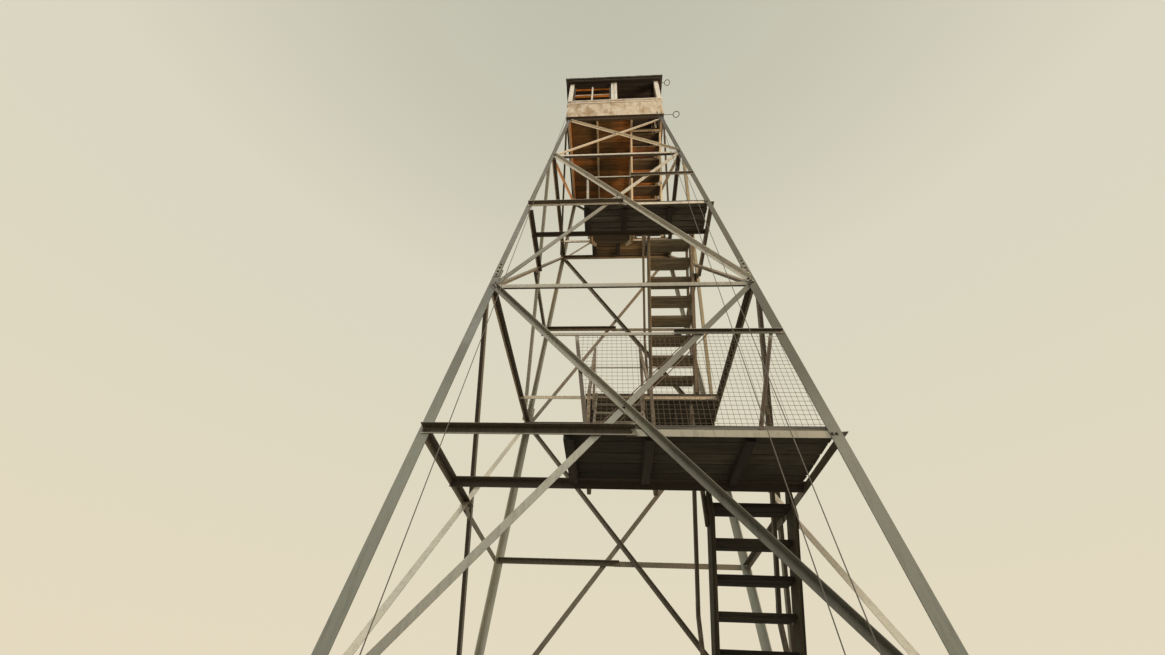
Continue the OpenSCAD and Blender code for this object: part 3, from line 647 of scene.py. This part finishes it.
def slab(form, outline, x, thick, way, rnd, rise, chamfer=0.004, inward=0):
    """Chamfered board with an outline in the y-z plane, thick across x. Inward is the direction in
    x of the face that is given a lighter tone, the rest of the board a darker one, or 0."""
    pts = [Vector((0, y, z)) for y, z in outline]
    n = len(pts)
    inner = []
    for i, p in enumerate(pts):
        a, b = (p - pts[i - 1]).normalized(), (pts[(i + 1) % n] - p).normalized()
        na, nb = Vector((0, a.z, -a.y)), Vector((0, b.z, -b.y))
        m = na + nb
        inner.append(p - m / max(0.3, m.dot(na)) * chamfer)
    t = thick / 2
    rings = [[Vector((x + dx, p.y, p.z)) for p in ring] for dx, ring in
             ((-t, inner), (-t + chamfer, pts), (t - chamfer, pts), (t, inner))]
    along = Vector((0, -1, rise)).normalized()
    across = Vector((0, rise, 1)).normalized()
    seed = rnd.random() * 40
    grain = [(p.dot(along) + seed, p.dot(across) + seed * 0.37, p.x + seed * 0.11)
             for r in rings for p in r]
    tone = rnd.random()
    form.loft(rings, way, grain, tone)
    if inward:
        lighter = range(2 * n, 4 * n) if inward > 0 else range(2 * n)
        start = len(form.tone) - 4 * n
        for i in range(4 * n):
            form.tone[start + i] = 0.75 + tone * 0.25 if i in lighter else tone * 0.35


def beam_foot(k):
    return level(k) + GIRT_W / 2 - beam_at(k)


def stringer_outline(k):
    """Outline of a stringer in the y-z plane, from its head round by its underside."""
    hung = k % 2 == 1
    low_z = beam_foot(k) if hung else flight_base(k)
    high_z = level(5) if k == 4 else level(k + 1) + DECK_UP
    deep = STRINGER_D * math.sqrt(1 + slope(k) ** 2)
    foot = [(edge_y(k, low_z + deep), low_z)]
    y = edge_at(k)
    foot += [(y, low_z), (y, edge_z(k, y))] if hung else [(edge_y(k, low_z), low_z)]
    if k == 4:
        return [(edge_y(k, high_z), high_z), (edge_y(k, high_z + deep), high_z)] + foot
    y = -edge_at(k + 1)
    head = ([(y, edge_z(k, y))] if edge_z(k, y) < high_z
            else [(edge_y(k, high_z), high_z), (y, high_z)])
    under = ([(y, beam_foot(3)), (edge_y(k, beam_foot(3) + deep), beam_foot(3))] if k == 2
             else [(y, edge_z(k, y) - deep)])
    return head + under + foot


def stairs(k):
    rnd = random.Random(200 + k)
    way = flight_way(k)
    mid = FLIGHT_X[k] if k % 2 == 0 else -FLIGHT_X[k]
    width = FLIGHT_W[k]
    form = Form()
    for i in range(1 - GROUND_STEPS if k == 0 else 1, last_step(k) + 1):
        y, z = tread_y(k, i), tread_top(k, i)
        in_hatch = k == 4 and i == RISERS
        x0, x1 = (HATCH_X0, HATCH_X1) if in_hatch else (mid - width / 2, mid + width / 2)
        half, gap = TREAD_D / 2, 0.002
        for part in (-1, 1):
            form.board(x1 - x0, half - gap, TREAD_T,
                       way @ placed((x0, y + part * half / 2, z - TREAD_T / 2), X_AXIS, UP),
                       rnd, chamfer=0.004, wobble=0.002, ragged=0.0)
    form.make(f"tread_boards_{k + 1}", TREADS[k], "dark_wood", (f"treads_{k + 1}",))

    form, beside = Form(), width / 2 + STRINGER_T / 2
    outline = stringer_outline(k)
    for s in (-1, 1):
        slab(form, outline, mid + s * beside, STRINGER_T, way, rnd, slope(k), inward=-s)
    form.make(f"stringer_boards_{k + 1}", STRINGERS[k], "dark_wood", (f"stringers_{k + 1}",))

    upright = RAIL_D * math.sqrt(1 + slope(k) ** 2)
    newel_y = tread_y(k, 1)
    top_z = level(5) - HANDRAIL_UP - upright - RAIL_D
    head = edge_y(k, top_z) if k == 4 else tread_y(k, last_step(k)) - go(k) / 2
    off, foot = (0, SEAT) if k == 4 else ((STRINGER_T + RAIL_T) / 2, -POST_LAP)
    parts = ((newel_y, NEWEL_D, foot, HANDRAIL_UP + upright + NEWEL_OVER),
             (head, newel_y - SEAT - head, HANDRAIL_UP, HANDRAIL_UP + upright),
             (head + RAIL_T, RAIL_D, foot, HANDRAIL_UP - SEAT))
    form = Form()
    for s in (-1, 1):
        x = mid + s * (beside + off)
        for y, d, lo, hi in parts:
            pts = [(y + d, edge_z(k, y + d) + lo), (y + d, edge_z(k, y + d) + hi),
                   (y, edge_z(k, y) + hi), (y, edge_z(k, y) + lo)]
            slab(form, pts, x, RAIL_T, way, rnd, slope(k), 0.005)
    form.make(f"handrail_boards_{k + 1}", RAILS[k], "rail_wood", (f"handrails_{k + 1}",))


# ---- cab
CAB_Z = level(5)
FLOOR_Z = CAB_Z + FLOOR_FRAME_H
FLOOR_TOP_Z = FLOOR_Z + FLOOR_T
SILL_Z = FLOOR_TOP_Z + SILL_UP
WALL_TOP = SILL_Z + WINDOW_H + HEAD_H
HATCH_X0 = FLIGHT_X[4] - FLIGHT_W[4] / 2
HATCH_X1 = TOP / 2 - JOIST_CAB
HATCH_Y0 = -TOP / 2 + JOIST_CAB
OUT = CAB_W / 2
WIN_W = OUT - CORNER_W - MULLION_W / 2
ROOF_W = CAB_W + 2 * EAVE
EAVES_Z = WALL_TOP + FASCIA_H


def bars(form, rnd, rows, turn=0, ragged=0.0, chamfer=0.003, wobble=0.0012):
    """Boards given as lowest and highest corners, with the grain along the longest side."""
    way = spin(turn)
    for lo, hi in rows:
        lo, hi = Vector(lo), Vector(hi)
        size, mid = hi - lo, (lo + hi) / 2
        run = max(range(3), key=lambda i: size[i])
        rest = [i for i in range(3) if i != run]
        thin = min(rest, key=lambda i: size[i])
        wide = next(i for i in rest if i != thin)
        along, up = (Vector([1.0 if i == axis else 0.0 for i in range(3)]) for axis in (run, thin))
        start = mid - along * size[run] / 2
        form.board(size[run], size[wide], size[thin], way @ placed(start, along, up), rnd,
                   chamfer, wobble, ragged)


def boards(name, material, slot, rnd, rows, gone=(), **looks):
    form = Form()
    bars(form, rnd, rows, **looks)
    form.make(name, material, slot, gone)


def cab_floor():
    rnd = random.Random(300)
    half = CAB_W / 2 - WALL_T
    n = 15
    pitch = 2 * half / n
    form = Form()
    for i in range(n):
        y = -half + pitch * (i + 0.5)
        spans = [(-half, half)]
        if HATCH_Y0 - pitch / 2 < y < HATCH_Y0 + HATCH_L:
            spans = [(-half, HATCH_X0), (HATCH_X1, half)]
        elif i % 3 == 1:
            spans = [(-half, -JOIST_OFF), (-JOIST_OFF + 0.003, half)]
        for a, b in spans:
            form.board(b - a, pitch - 0.004, FLOOR_T,
                       placed((a, y, FLOOR_Z + FLOOR_T / 2), X_AXIS, UP),
                       rnd, chamfer=0.002, ragged=0.001)
    form.make("cab_floor_boards", FLOOR, "floor_boards", ("cab_floor",))
    w, j, h = TOP, JOIST_CAB, FLOOR_FRAME_H
    z, inside = CAB_Z + h / 2, w - 2 * j
    beams = [((-w / 2, -w / 2 + j / 2), (1, 0), w), ((-w / 2, w / 2 - j / 2), (1, 0), w)]
    beams += [((x, -w / 2 + j), (0, 1), inside)
              for x in (-w / 2 + j / 2, w / 2 - j / 2, -JOIST_OFF, HATCH_X0 - j / 2)]
    beams += [((HATCH_X0, y), (1, 0), HATCH_X1 - HATCH_X0)
              for y in (-LANDING_Y - j / 2, HATCH_Y0 + HATCH_L + j / 2)]
    form, front = Form(), Form()
    for (x, y), (dx, dy), length in beams:
        (front if y < -w / 2 + j else form).board(
            length, j, h, placed((x, y, z), (dx, dy, 0), UP), rnd, ragged=0.0,
            tone=0.5 + 0.3 * rnd.random())
    form.make("cab_floor_joists", FLOOR_JOIST, "dark_wood", ("cab_floor_frame",))
    front.make("cab_front_beam", FRONT_BEAM, "dark_wood")
    # A thin board on the left beam's inner face, in the orange rim wood: painted sunlight.
    boards("floor_rim_board", RIM, "dark_wood", rnd,
           [((-w / 2 + j + 0.0005, -w / 2 + j + 0.002, CAB_Z + 0.006),
             (-w / 2 + j + 0.016, w / 2 - j - 0.002, CAB_Z + h - 0.001))])


def cab_side(turn):
    rnd = random.Random(320 + turn)
    face, mull, lid, top = SIDES[turn], MULLION_W / 2, SILL_Z + WINDOW_H, WALL_TOP - 0.001
    left, right = (-OUT + CORNER_W, -mull), (mull, OUT - CORNER_W)

    def nailed(x0, x1, thick, z0, z1):
        return (x0, -OUT - thick, z0), (x1, -OUT - NAILED, z1)

    # Thin dark boards under the window heads: painted shade in the top of each opening.
    def lining(opening, y0, y1):
        gap, thick = 0.001, 0.01
        return ((opening[0] + gap, -OUT + y0, lid - thick),
                (opening[1] - gap, -OUT + y1, lid - SEAT))

    # Corner boards on the front and the back cover the ends of the others
    end = OUT + 0.016 if turn % 180 == 0 else OUT
    corners = [sorted((s * end, s * (OUT - CORNER_W))) for s in (-1, 1)]
    uprights = [(x0, x1, 0.018) for x0, x1 in corners]
    uprights += [(-mull, -0.004, 0.015), (0.003, mull, 0.020)]
    boards(f"trim_{face}", TRIM, "cab_siding", rnd,
           [nailed(x0, x1, thick, SILL_Z + 0.001, top) for x0, x1, thick in uprights],
           turn=turn, chamfer=0.004, wobble=0.004)
    boards(f"head_boards_{face}", HEAD, "cab_siding", rnd,
           [nailed(*left, 0.010, lid - 0.004, top), nailed(*right, 0.010, lid - 0.004, top),
            lining(right, NAILED, WALL_T - 0.001), lining(left, NAILED, SASH_IN - NAILED),
            lining(left, SASH_IN + SASH_T + NAILED, WALL_T - 0.001)], turn=turn, wobble=0.0)
    sill = OUT - CORNER_W / 2
    boards(f"sill_boards_{face}", APRON, "cab_siding", rnd,
           [nailed(-sill - 0.004, sill + 0.004, 0.036, SILL_Z - 0.045, SILL_Z + NAILED),
            nailed(-sill + 0.01, 0.03, 0.014, SILL_Z - 0.135, SILL_Z - 0.046),
            nailed(0.034, sill - 0.01, 0.012, SILL_Z - 0.130, SILL_Z - 0.046)],
           turn=turn, ragged=0.006, chamfer=0.004, wobble=0.003)

    x0, x1, z0, z1 = -mull - WIN_W, -mull, SILL_Z + SEAT, lid - SEAT
    w, mid, half = SASH_RAIL_W, (x0 + x1) / 2, (z0 + z1) / 2

    def rail(xa, xb, za, zb, inner=0.0, outer=SASH_T):
        y = -OUT + SASH_IN
        return (xa, y + inner, za), (xb, y + outer, zb)

    boards(f"sash_frame_{face}", SASH, "sash_wood", rnd,
           [rail(x0, x0 + w, z0, z1), rail(x1 - w, x1, z0, z1), rail(x0 + w, x1 - w, z0, z0 + w),
            rail(x0 + w, x1 - w, z1 - w * 0.55, z1)], (f"sash_{face}",), turn=turn)
    boards(f"sash_bars_{face}", BAR, "sash_wood", rnd,
           [rail(mid - 0.019, mid + 0.019, z0 + w * 0.4, z1 - w * 0.4, 0.002, 0.034),
            rail(x0 + w * 0.4, mid - 0.0195, half - 0.009, half + 0.009, 0.010, 0.024),
            rail(mid + 0.0195, x1 - w * 0.4, half - 0.009, half + 0.009, 0.010, 0.024)],
           turn=turn, wobble=0.002)
    felt_edge(turn, rnd)


def felt_edge(turn, rnd):
    """Felt that laps up the roof and hangs unevenly over the fascia. It ends at the hips."""
    n, seed, over, thick, lap_up = 60, rnd.random() * 30, 0.030, 0.004, 0.20
    y, z = -ROOF_W / 2, EAVES_Z
    rings = []
    for i in range(n + 1):
        x = -ROOF_W / 2 - over + (ROOF_W + 2 * over) * i / n

        def wave(size, rate, row):
            return size * noise.noise((x * rate, seed, row))

        hang = 0.055 + wave(0.032, 3.1, 0.0) + wave(0.012, 13.0, 4.0)
        lift = 0.006 + max(0.0, wave(0.024, 2.3, 9.0)) + wave(0.005, 11.0, 2.0)
        bulge = 0.024 + wave(0.006, 5.0, 6.0)
        lap = max(0.012, min(lap_up, ROOF_W / 2 - abs(x) - 0.01))
        up = z + lap * ROOF_RISE / (ROOF_W / 2 - APEX)
        near_hip = min(1.0, lap / 0.08)
        rings.append([(x, y - bulge - thick, z - hang), (x, y - bulge, z - hang),
                      (x, y - bulge, z + lift * 0.3 * near_hip), (x, y + lap, up + 0.003),
                      (x, y + lap, up + 0.007),
                      (x, y - bulge - thick, z + thick + lift * near_hip)])
    form = Form()
    form.loft(rings, spin(turn))
    form.make(f"felt_edge_{SIDES[turn]}", FELT, "roof_boards")


def ceiling_and_roof():
    rnd = random.Random(340)
    low, high, pitch, half_gap, split = WALL_TOP, WALL_TOP + ROOF_T, 0.085, 0.0015, -0.05
    edges = [-OUT, -1.0725, -0.965]
    while edges[-1] + pitch < OUT - 0.02:
        edges.append(edges[-1] + pitch)
    edges.append(OUT)
    plain, lit = [], []
    for i, (a, b) in enumerate(zip(edges, edges[1:])):
        a, b = a + half_gap, b - half_gap
        # Boards 1 and 3, left of the split, take the orange wood: painted sunlight through the
        # window; the others stay dark.
        (lit if i in (1, 3) else plain).append(((-OUT, a, low), (split, b, high)))
        plain.append(((split + 0.002, a, low), (OUT, b, high)))
    inner, outer = OUT + 0.001, ROOF_W / 2 - ROOF_T - 0.001
    ends = [((-outer, -outer, low), (outer, -inner, high)),
            ((-outer, inner, low), (outer, outer, high))]
    flanks = [((x0, -inner + 0.002, low), (x1, inner - 0.002, high))
              for x0, x1 in ((-outer, -inner), (inner, outer))]
    for name, material, rows, gone in (("ceiling_boards", CEILING, plain, ("ceiling",)),
                                       ("ceiling_strips", GLOW, lit, ()),
                                       ("soffit_boards_ends", HEAD, ends, ()),
                                       ("soffit_boards", SOFFIT, flanks, ())):
        boards(name, material, "roof_boards", rnd, rows, gone, chamfer=0.002)
    # Strips of felt over the hips and a cap at the apex
    form = Form()
    half, top, under, steps = ROOF_W / 2, EAVES_Z + ROOF_RISE, 0.006, 24
    for turn in SIDES:
        rings = []
        for i in range(steps + 1):
            t = i / steps
            r = half + (APEX - half) * t
            z = EAVES_Z + ROOF_RISE * t + 0.009 + 0.003 * noise.noise((t * 9, turn, 0.5))
            w = 0.085 + 0.006 * noise.noise((t * 12, turn, 3.5))
            rings.append([(-r, -r, z), (-r + w, -r, z - 0.001), (-r + w, -r, z - under),
                          (-r, -r, z - under), (-r, -r + w, z - under), (-r, -r + w, z - 0.001)])
        form.loft(rings, spin(turn))
    form.prism(4, 0.075, top - 0.02, top + 0.02, Matrix.Identity(4), math.pi / 4, 0.015)
    form.make("hip_strips", FELT, "roof_boards")


def hatch_posts():
    """Two short uprights that stand on the beam in front of the stairs' head."""
    z, y0, y1 = FLOOR_Z, -LANDING_Y - 0.043, -LANDING_Y - 0.008
    boards("hatch_posts", FLOOR_JOIST, "dark_wood", random.Random(350),
           [((x0, y0, z), (x1, y1, z + tall))
            for x0, x1, tall in ((0.905, 0.940, 0.30), (0.985, 1.025, 0.46))], ragged=0.006)


for turn in SIDES:
    cab_side(turn)
ceiling_and_roof()
hatch_posts()
for k in range(1, 5):
    landing(k)
for k in range(5):
    stairs(k)
cab_floor()

# ---- bolts and plates
BOLT_R, SPLICE_BOLT_R = 0.0105, 0.0125


def bolt(form, at, m, rnd, size=BOLT_R):
    """Hexagon head on a washer, standing on z of the matrix at x and y."""
    here = m @ Matrix.Translation(at)
    form.prism(12, size * 1.25, 0, 0.003, here)
    form.prism(6, size, 0.003, 0.014, here, rnd.random(), size * 0.93)


def side_bolts(turn):
    m = side(turn)
    rnd = random.Random(400 + turn)
    form, plates = Form(), Form()

    def put(x, y, z=0, size=BOLT_R):
        bolt(form, (x, y, z), m, rnd, size)

    gusset_l, gusset_t = 0.085, 0.004
    for panel, (a, b) in enumerate(PANELS):
        p, q = Vector((node_x(a), foot_v(a))), Vector((-node_x(b), head_v(b)))
        d = (q - p).normalized()
        for start, way in ((p, d), (q, -d)):
            here = start + way * 0.042
            corner = (here.x - way.x * gusset_l / 2, here.y - way.y * gusset_l / 2,
                      BRACE_T + gusset_t / 2)
            plates.board(gusset_l, BRACE_W[panel] * 0.72, gusset_t,
                         m @ placed(corner, (way.x, way.y, 0), UP), rnd, 0.001, 0.0, 0.0)
            for step in (0.022, 0.062):
                x, y = start + way * step
                put(x, y, BRACE_T + gusset_t)
                put(-x, y)
        cross = foot_v(a) + (head_v(b) - foot_v(a)) * node_x(a) / (node_x(a) + node_x(b))
        put(0, cross, BRACE_T)
    flip, out = (-1, 2 * BRACE_T + SEAT) if turn == 270 else (1, BRACE_T)
    for k in (1, 3):
        v = up_face(level(k))
        for x in (-reach(v) + 0.025, -reach(v) + 0.062, LAP_X - LAP_W / 2):
            put(flip * x, v - 0.005, out)
        for x in (reach(v) - 0.025, reach(v) - 0.062):
            put(flip * x, v)
    # Splice plates on both legs, where the narrower angles begin
    tip = BATTER * math.cos(LEAN)
    splice = up_face(level(2) + SPLICE_UP)
    for s in (-1, 1):
        along = Vector((-s * tip, 1, 0)).normalized()
        x = s * (BASE / 2 - tip * splice - LEG_W[1] / 2 - 0.004)
        mid = Vector((x, splice, SPLICE_T / 2))
        plates.board(SPLICE_L, SPLICE_W, SPLICE_T,
                     m @ placed(mid - along * (SPLICE_L / 2), along, UP), rnd, 0.002, 0.0, 0.0)
        for step in (-0.115, -0.045, 0.045, 0.115):
            at = mid + along * step
            put(at.x, at.y, SPLICE_T, SPLICE_BOLT_R)
    for k in (2, 4):
        v = up_face(level(k))
        for x in (reach(v) - 0.02, reach(v) - 0.055):
            for s in (-1, 1):
                put(s * x, v)
    form.make(f"bolts_{SIDES[turn]}", BOLT, "galvanised_steel")
    plates.make(f"plates_{SIDES[turn]}", PLATE, "galvanised_steel")


def solids_of(mesh):
    """The separate solids of a node's mesh, each as its points and its faces."""
    welded, index = {}, []
    for v in mesh.vertices:
        index.append(welded.setdefault(tuple(round(c, 5) for c in v.co), len(welded)))
    points = [Vector(p) for p in welded]
    root = list(range(len(points)))

    def find(i):
        while root[i] != i:
            root[i] = root[root[i]]
            i = root[i]
        return i

    faces = [[index[i] for i in p.vertices] for p in mesh.polygons]
    for f in faces:
        for i in f[1:]:
            root[find(i)] = find(f[0])
    groups = {}
    for f in faces:
        groups.setdefault(find(f[0]), []).append(f)
    for group in groups.values():
        used = sorted({i for f in group for i in f})
        new = {i: n for n, i in enumerate(used)}
        yield [points[i] for i in used], [[new[i] for i in f] for f in group]


def side_lattice(turn, base, picks):
    """Steel of one side, bar by bar, each with its own colours, which paint the light and shade
    that fall on it. Picks gives the material of a diagonal by its panel and whether it lies
    outside. On the left side the two split girts have their inner part at the front."""
    m = side(turn)
    back = m.inverted()
    node = "lattice_" + SIDES[turn]
    shades, forms = {"girts": base}, {"girts": Form()}
    for points, faces in solids_of(nodes[node].data):
        low, high = min(p.z for p in points), max(p.z for p in points)
        local = [back @ p for p in points]
        # Only the outer bars' standing flanges reach this far out
        outer = max(p.z for p in local) > 0.03
        tag = "girts"
        if high - low > 0.15:
            panel = 0 if low < level(1) else 1 if low < level(3) else 2
            if (panel, outer) in picks:
                tag = f"{'outer' if outer else 'inner'}_{panel + 1}"
                shades[tag] = picks[panel, outer]
        elif turn == 270 and any(abs((low + high) / 2 - level(k)) < 0.06 for k in (1, 3)):
            shift = BRACE_T + SEAT
            points = [m @ Vector((-p.x, p.y, p.z + (shift if outer and p.z >= -0.002 else -shift)))
                      for p in local]
            faces = [f[::-1] for f in faces]
        forms.setdefault(tag, Form()).add(points, faces)
    for tag, form in forms.items():
        gone = (node,) if tag == "girts" else ()
        form.make(f"{node}_{tag}", shades[tag], "galvanised_steel", gone)


def anchor_bolts():
    """Threaded bolts with nuts that hold the base plates to the footings."""
    form = Form()
    mid, off, top = BASE / 2 - 0.065, 0.098, FOOTING + BASE_PLATE_T
    for sx in (-1, 1):
        for sy in (-1, 1):
            for dx, dy in ((-1, -1), (-1, 1), (1, -1)):
                here = Matrix.Translation((sx * (mid - dx * off), sy * (mid - dy * off), top))
                form.prism(16, 0.023, 0, 0.003, here)
                form.prism(6, 0.017, 0.003, 0.017, here, 0.4)
                form.prism(12, 0.009, 0.017, 0.042, here, 0, 0.008)
    form.make("anchor_bolts", BOLT, "galvanised_steel")


for turn in SIDES:
    side_bolts(turn)
side_lattice(0, FRONT, FRONT_BARS)
side_lattice(90, BRACE, {(0, False): PALE, (1, True): OLIVE, (2, False): CREAM})
side_lattice(270, BRACE, {(0, False): PALE, (1, True): OLIVE, (2, False): WARM})
anchor_bolts()

# ---- stage
FLOOR_R, FLOOR_SIDES = 260, 96
FLOOR_SEEN, FLOOR_LIT = (0.66, 0.605, 0.485), (0.2, 0.18, 0.15)
SKY_LIT = (0.8, 0.8, 0.76)
SKY_SEEN = ((0.1, (0.78, 0.7, 0.53)), (0.45, (0.73, 0.68, 0.53)), (0.72, (0.7, 0.67, 0.535)),
            (0.985, (0.53, 0.52, 0.42)))


def link(obj):
    bpy.context.scene.collection.objects.link(obj)
    return obj


angles = [math.tau * i / FLOOR_SIDES for i in range(FLOOR_SIDES)]
disc = bpy.data.meshes.new("floor")
disc.from_pydata([(FLOOR_R * math.cos(a), FLOOR_R * math.sin(a), 0) for a in angles], [],
                 [tuple(range(FLOOR_SIDES))])
floor = link(bpy.data.objects.new("floor", disc))
paper = bpy.data.materials.new("floor_paper")
ground = Tree(paper)
ground.tree.nodes.clear()
diffuse = ground.node("BsdfDiffuse", {0: ground.mix(ground.seen(), FLOOR_LIT, FLOOR_SEEN)})
ground.put(ground.tree.nodes.new("ShaderNodeOutputMaterial").inputs[0], diffuse)
disc.materials.append(paper)

world = bpy.data.worlds.new("studio")
bpy.context.scene.world = world
air = Tree(world)
sky = air.ramp(air.axis(air.node("TexCoord"), 2), *SKY_SEEN)
air.put(air.tree.nodes["Background"].inputs[0], air.mix(air.seen(), SKY_LIT, sky))


def lamp(name, kind, towards, at=(0, 0, 0), **values):
    """Lamp that shines from the direction towards."""
    data = bpy.data.lights.new(name, kind)
    for key, value in values.items():
        setattr(data, key, value)
    obj = link(bpy.data.objects.new(name, data))
    obj.location = at
    obj.rotation_mode = "QUATERNION"
    obj.rotation_quaternion = Vector(towards).to_track_quat("Z", "Y")


AZIMUTH, ELEVATION = math.radians(-25), math.radians(48)
lamp("key", "SUN", (math.sin(AZIMUTH) * math.cos(ELEVATION),
                    -math.cos(AZIMUTH) * math.cos(ELEVATION), math.sin(ELEVATION)),
     color=(1.0, 0.97, 0.9), energy=1.5, angle=math.radians(25))
GLOW_AT, GLOW_AIM = Vector((7.5, -3.5, 6.6)), Vector((0, 0, 11.2))
lamp("glow", "AREA", GLOW_AT - GLOW_AIM, GLOW_AT, shape="DISK", size=3.0, energy=680,
     color=(1.0, 0.72, 0.44))

# ---- camera
YAW, PITCH, ROLL = 0.0895407, 0.7652513, 0.0559079
EYE = Vector((-0.10494, -5.14151, 0.13171 + FOOTING))
FOCAL_PX, FRAME_PX, SENSOR_MM = 447.18, 1165, 36
lens = bpy.data.cameras.new("camera")
camera = link(bpy.data.objects.new("camera", lens))
right = Vector((math.cos(YAW), math.sin(YAW), 0))
ahead = Vector((-math.sin(YAW), math.cos(YAW), 0))
forward = ahead * math.cos(PITCH) + Vector((0, 0, math.sin(PITCH)))
up = -ahead * math.sin(PITCH) + Vector((0, 0, math.cos(PITCH)))
view_right = right * math.cos(ROLL) + up * math.sin(ROLL)
view_up = -right * math.sin(ROLL) + up * math.cos(ROLL)
place = Matrix((view_right, view_up, -forward)).transposed().to_4x4()
place.translation = EYE
camera.matrix_world = place
lens.sensor_fit = "HORIZONTAL"
lens.sensor_width = SENSOR_MM
lens.lens = FOCAL_PX / FRAME_PX * SENSOR_MM
lens.clip_start, lens.clip_end = 0.05, 300
bpy.context.scene.camera = camera
bpy.context.scene.view_settings.view_transform = "Standard"
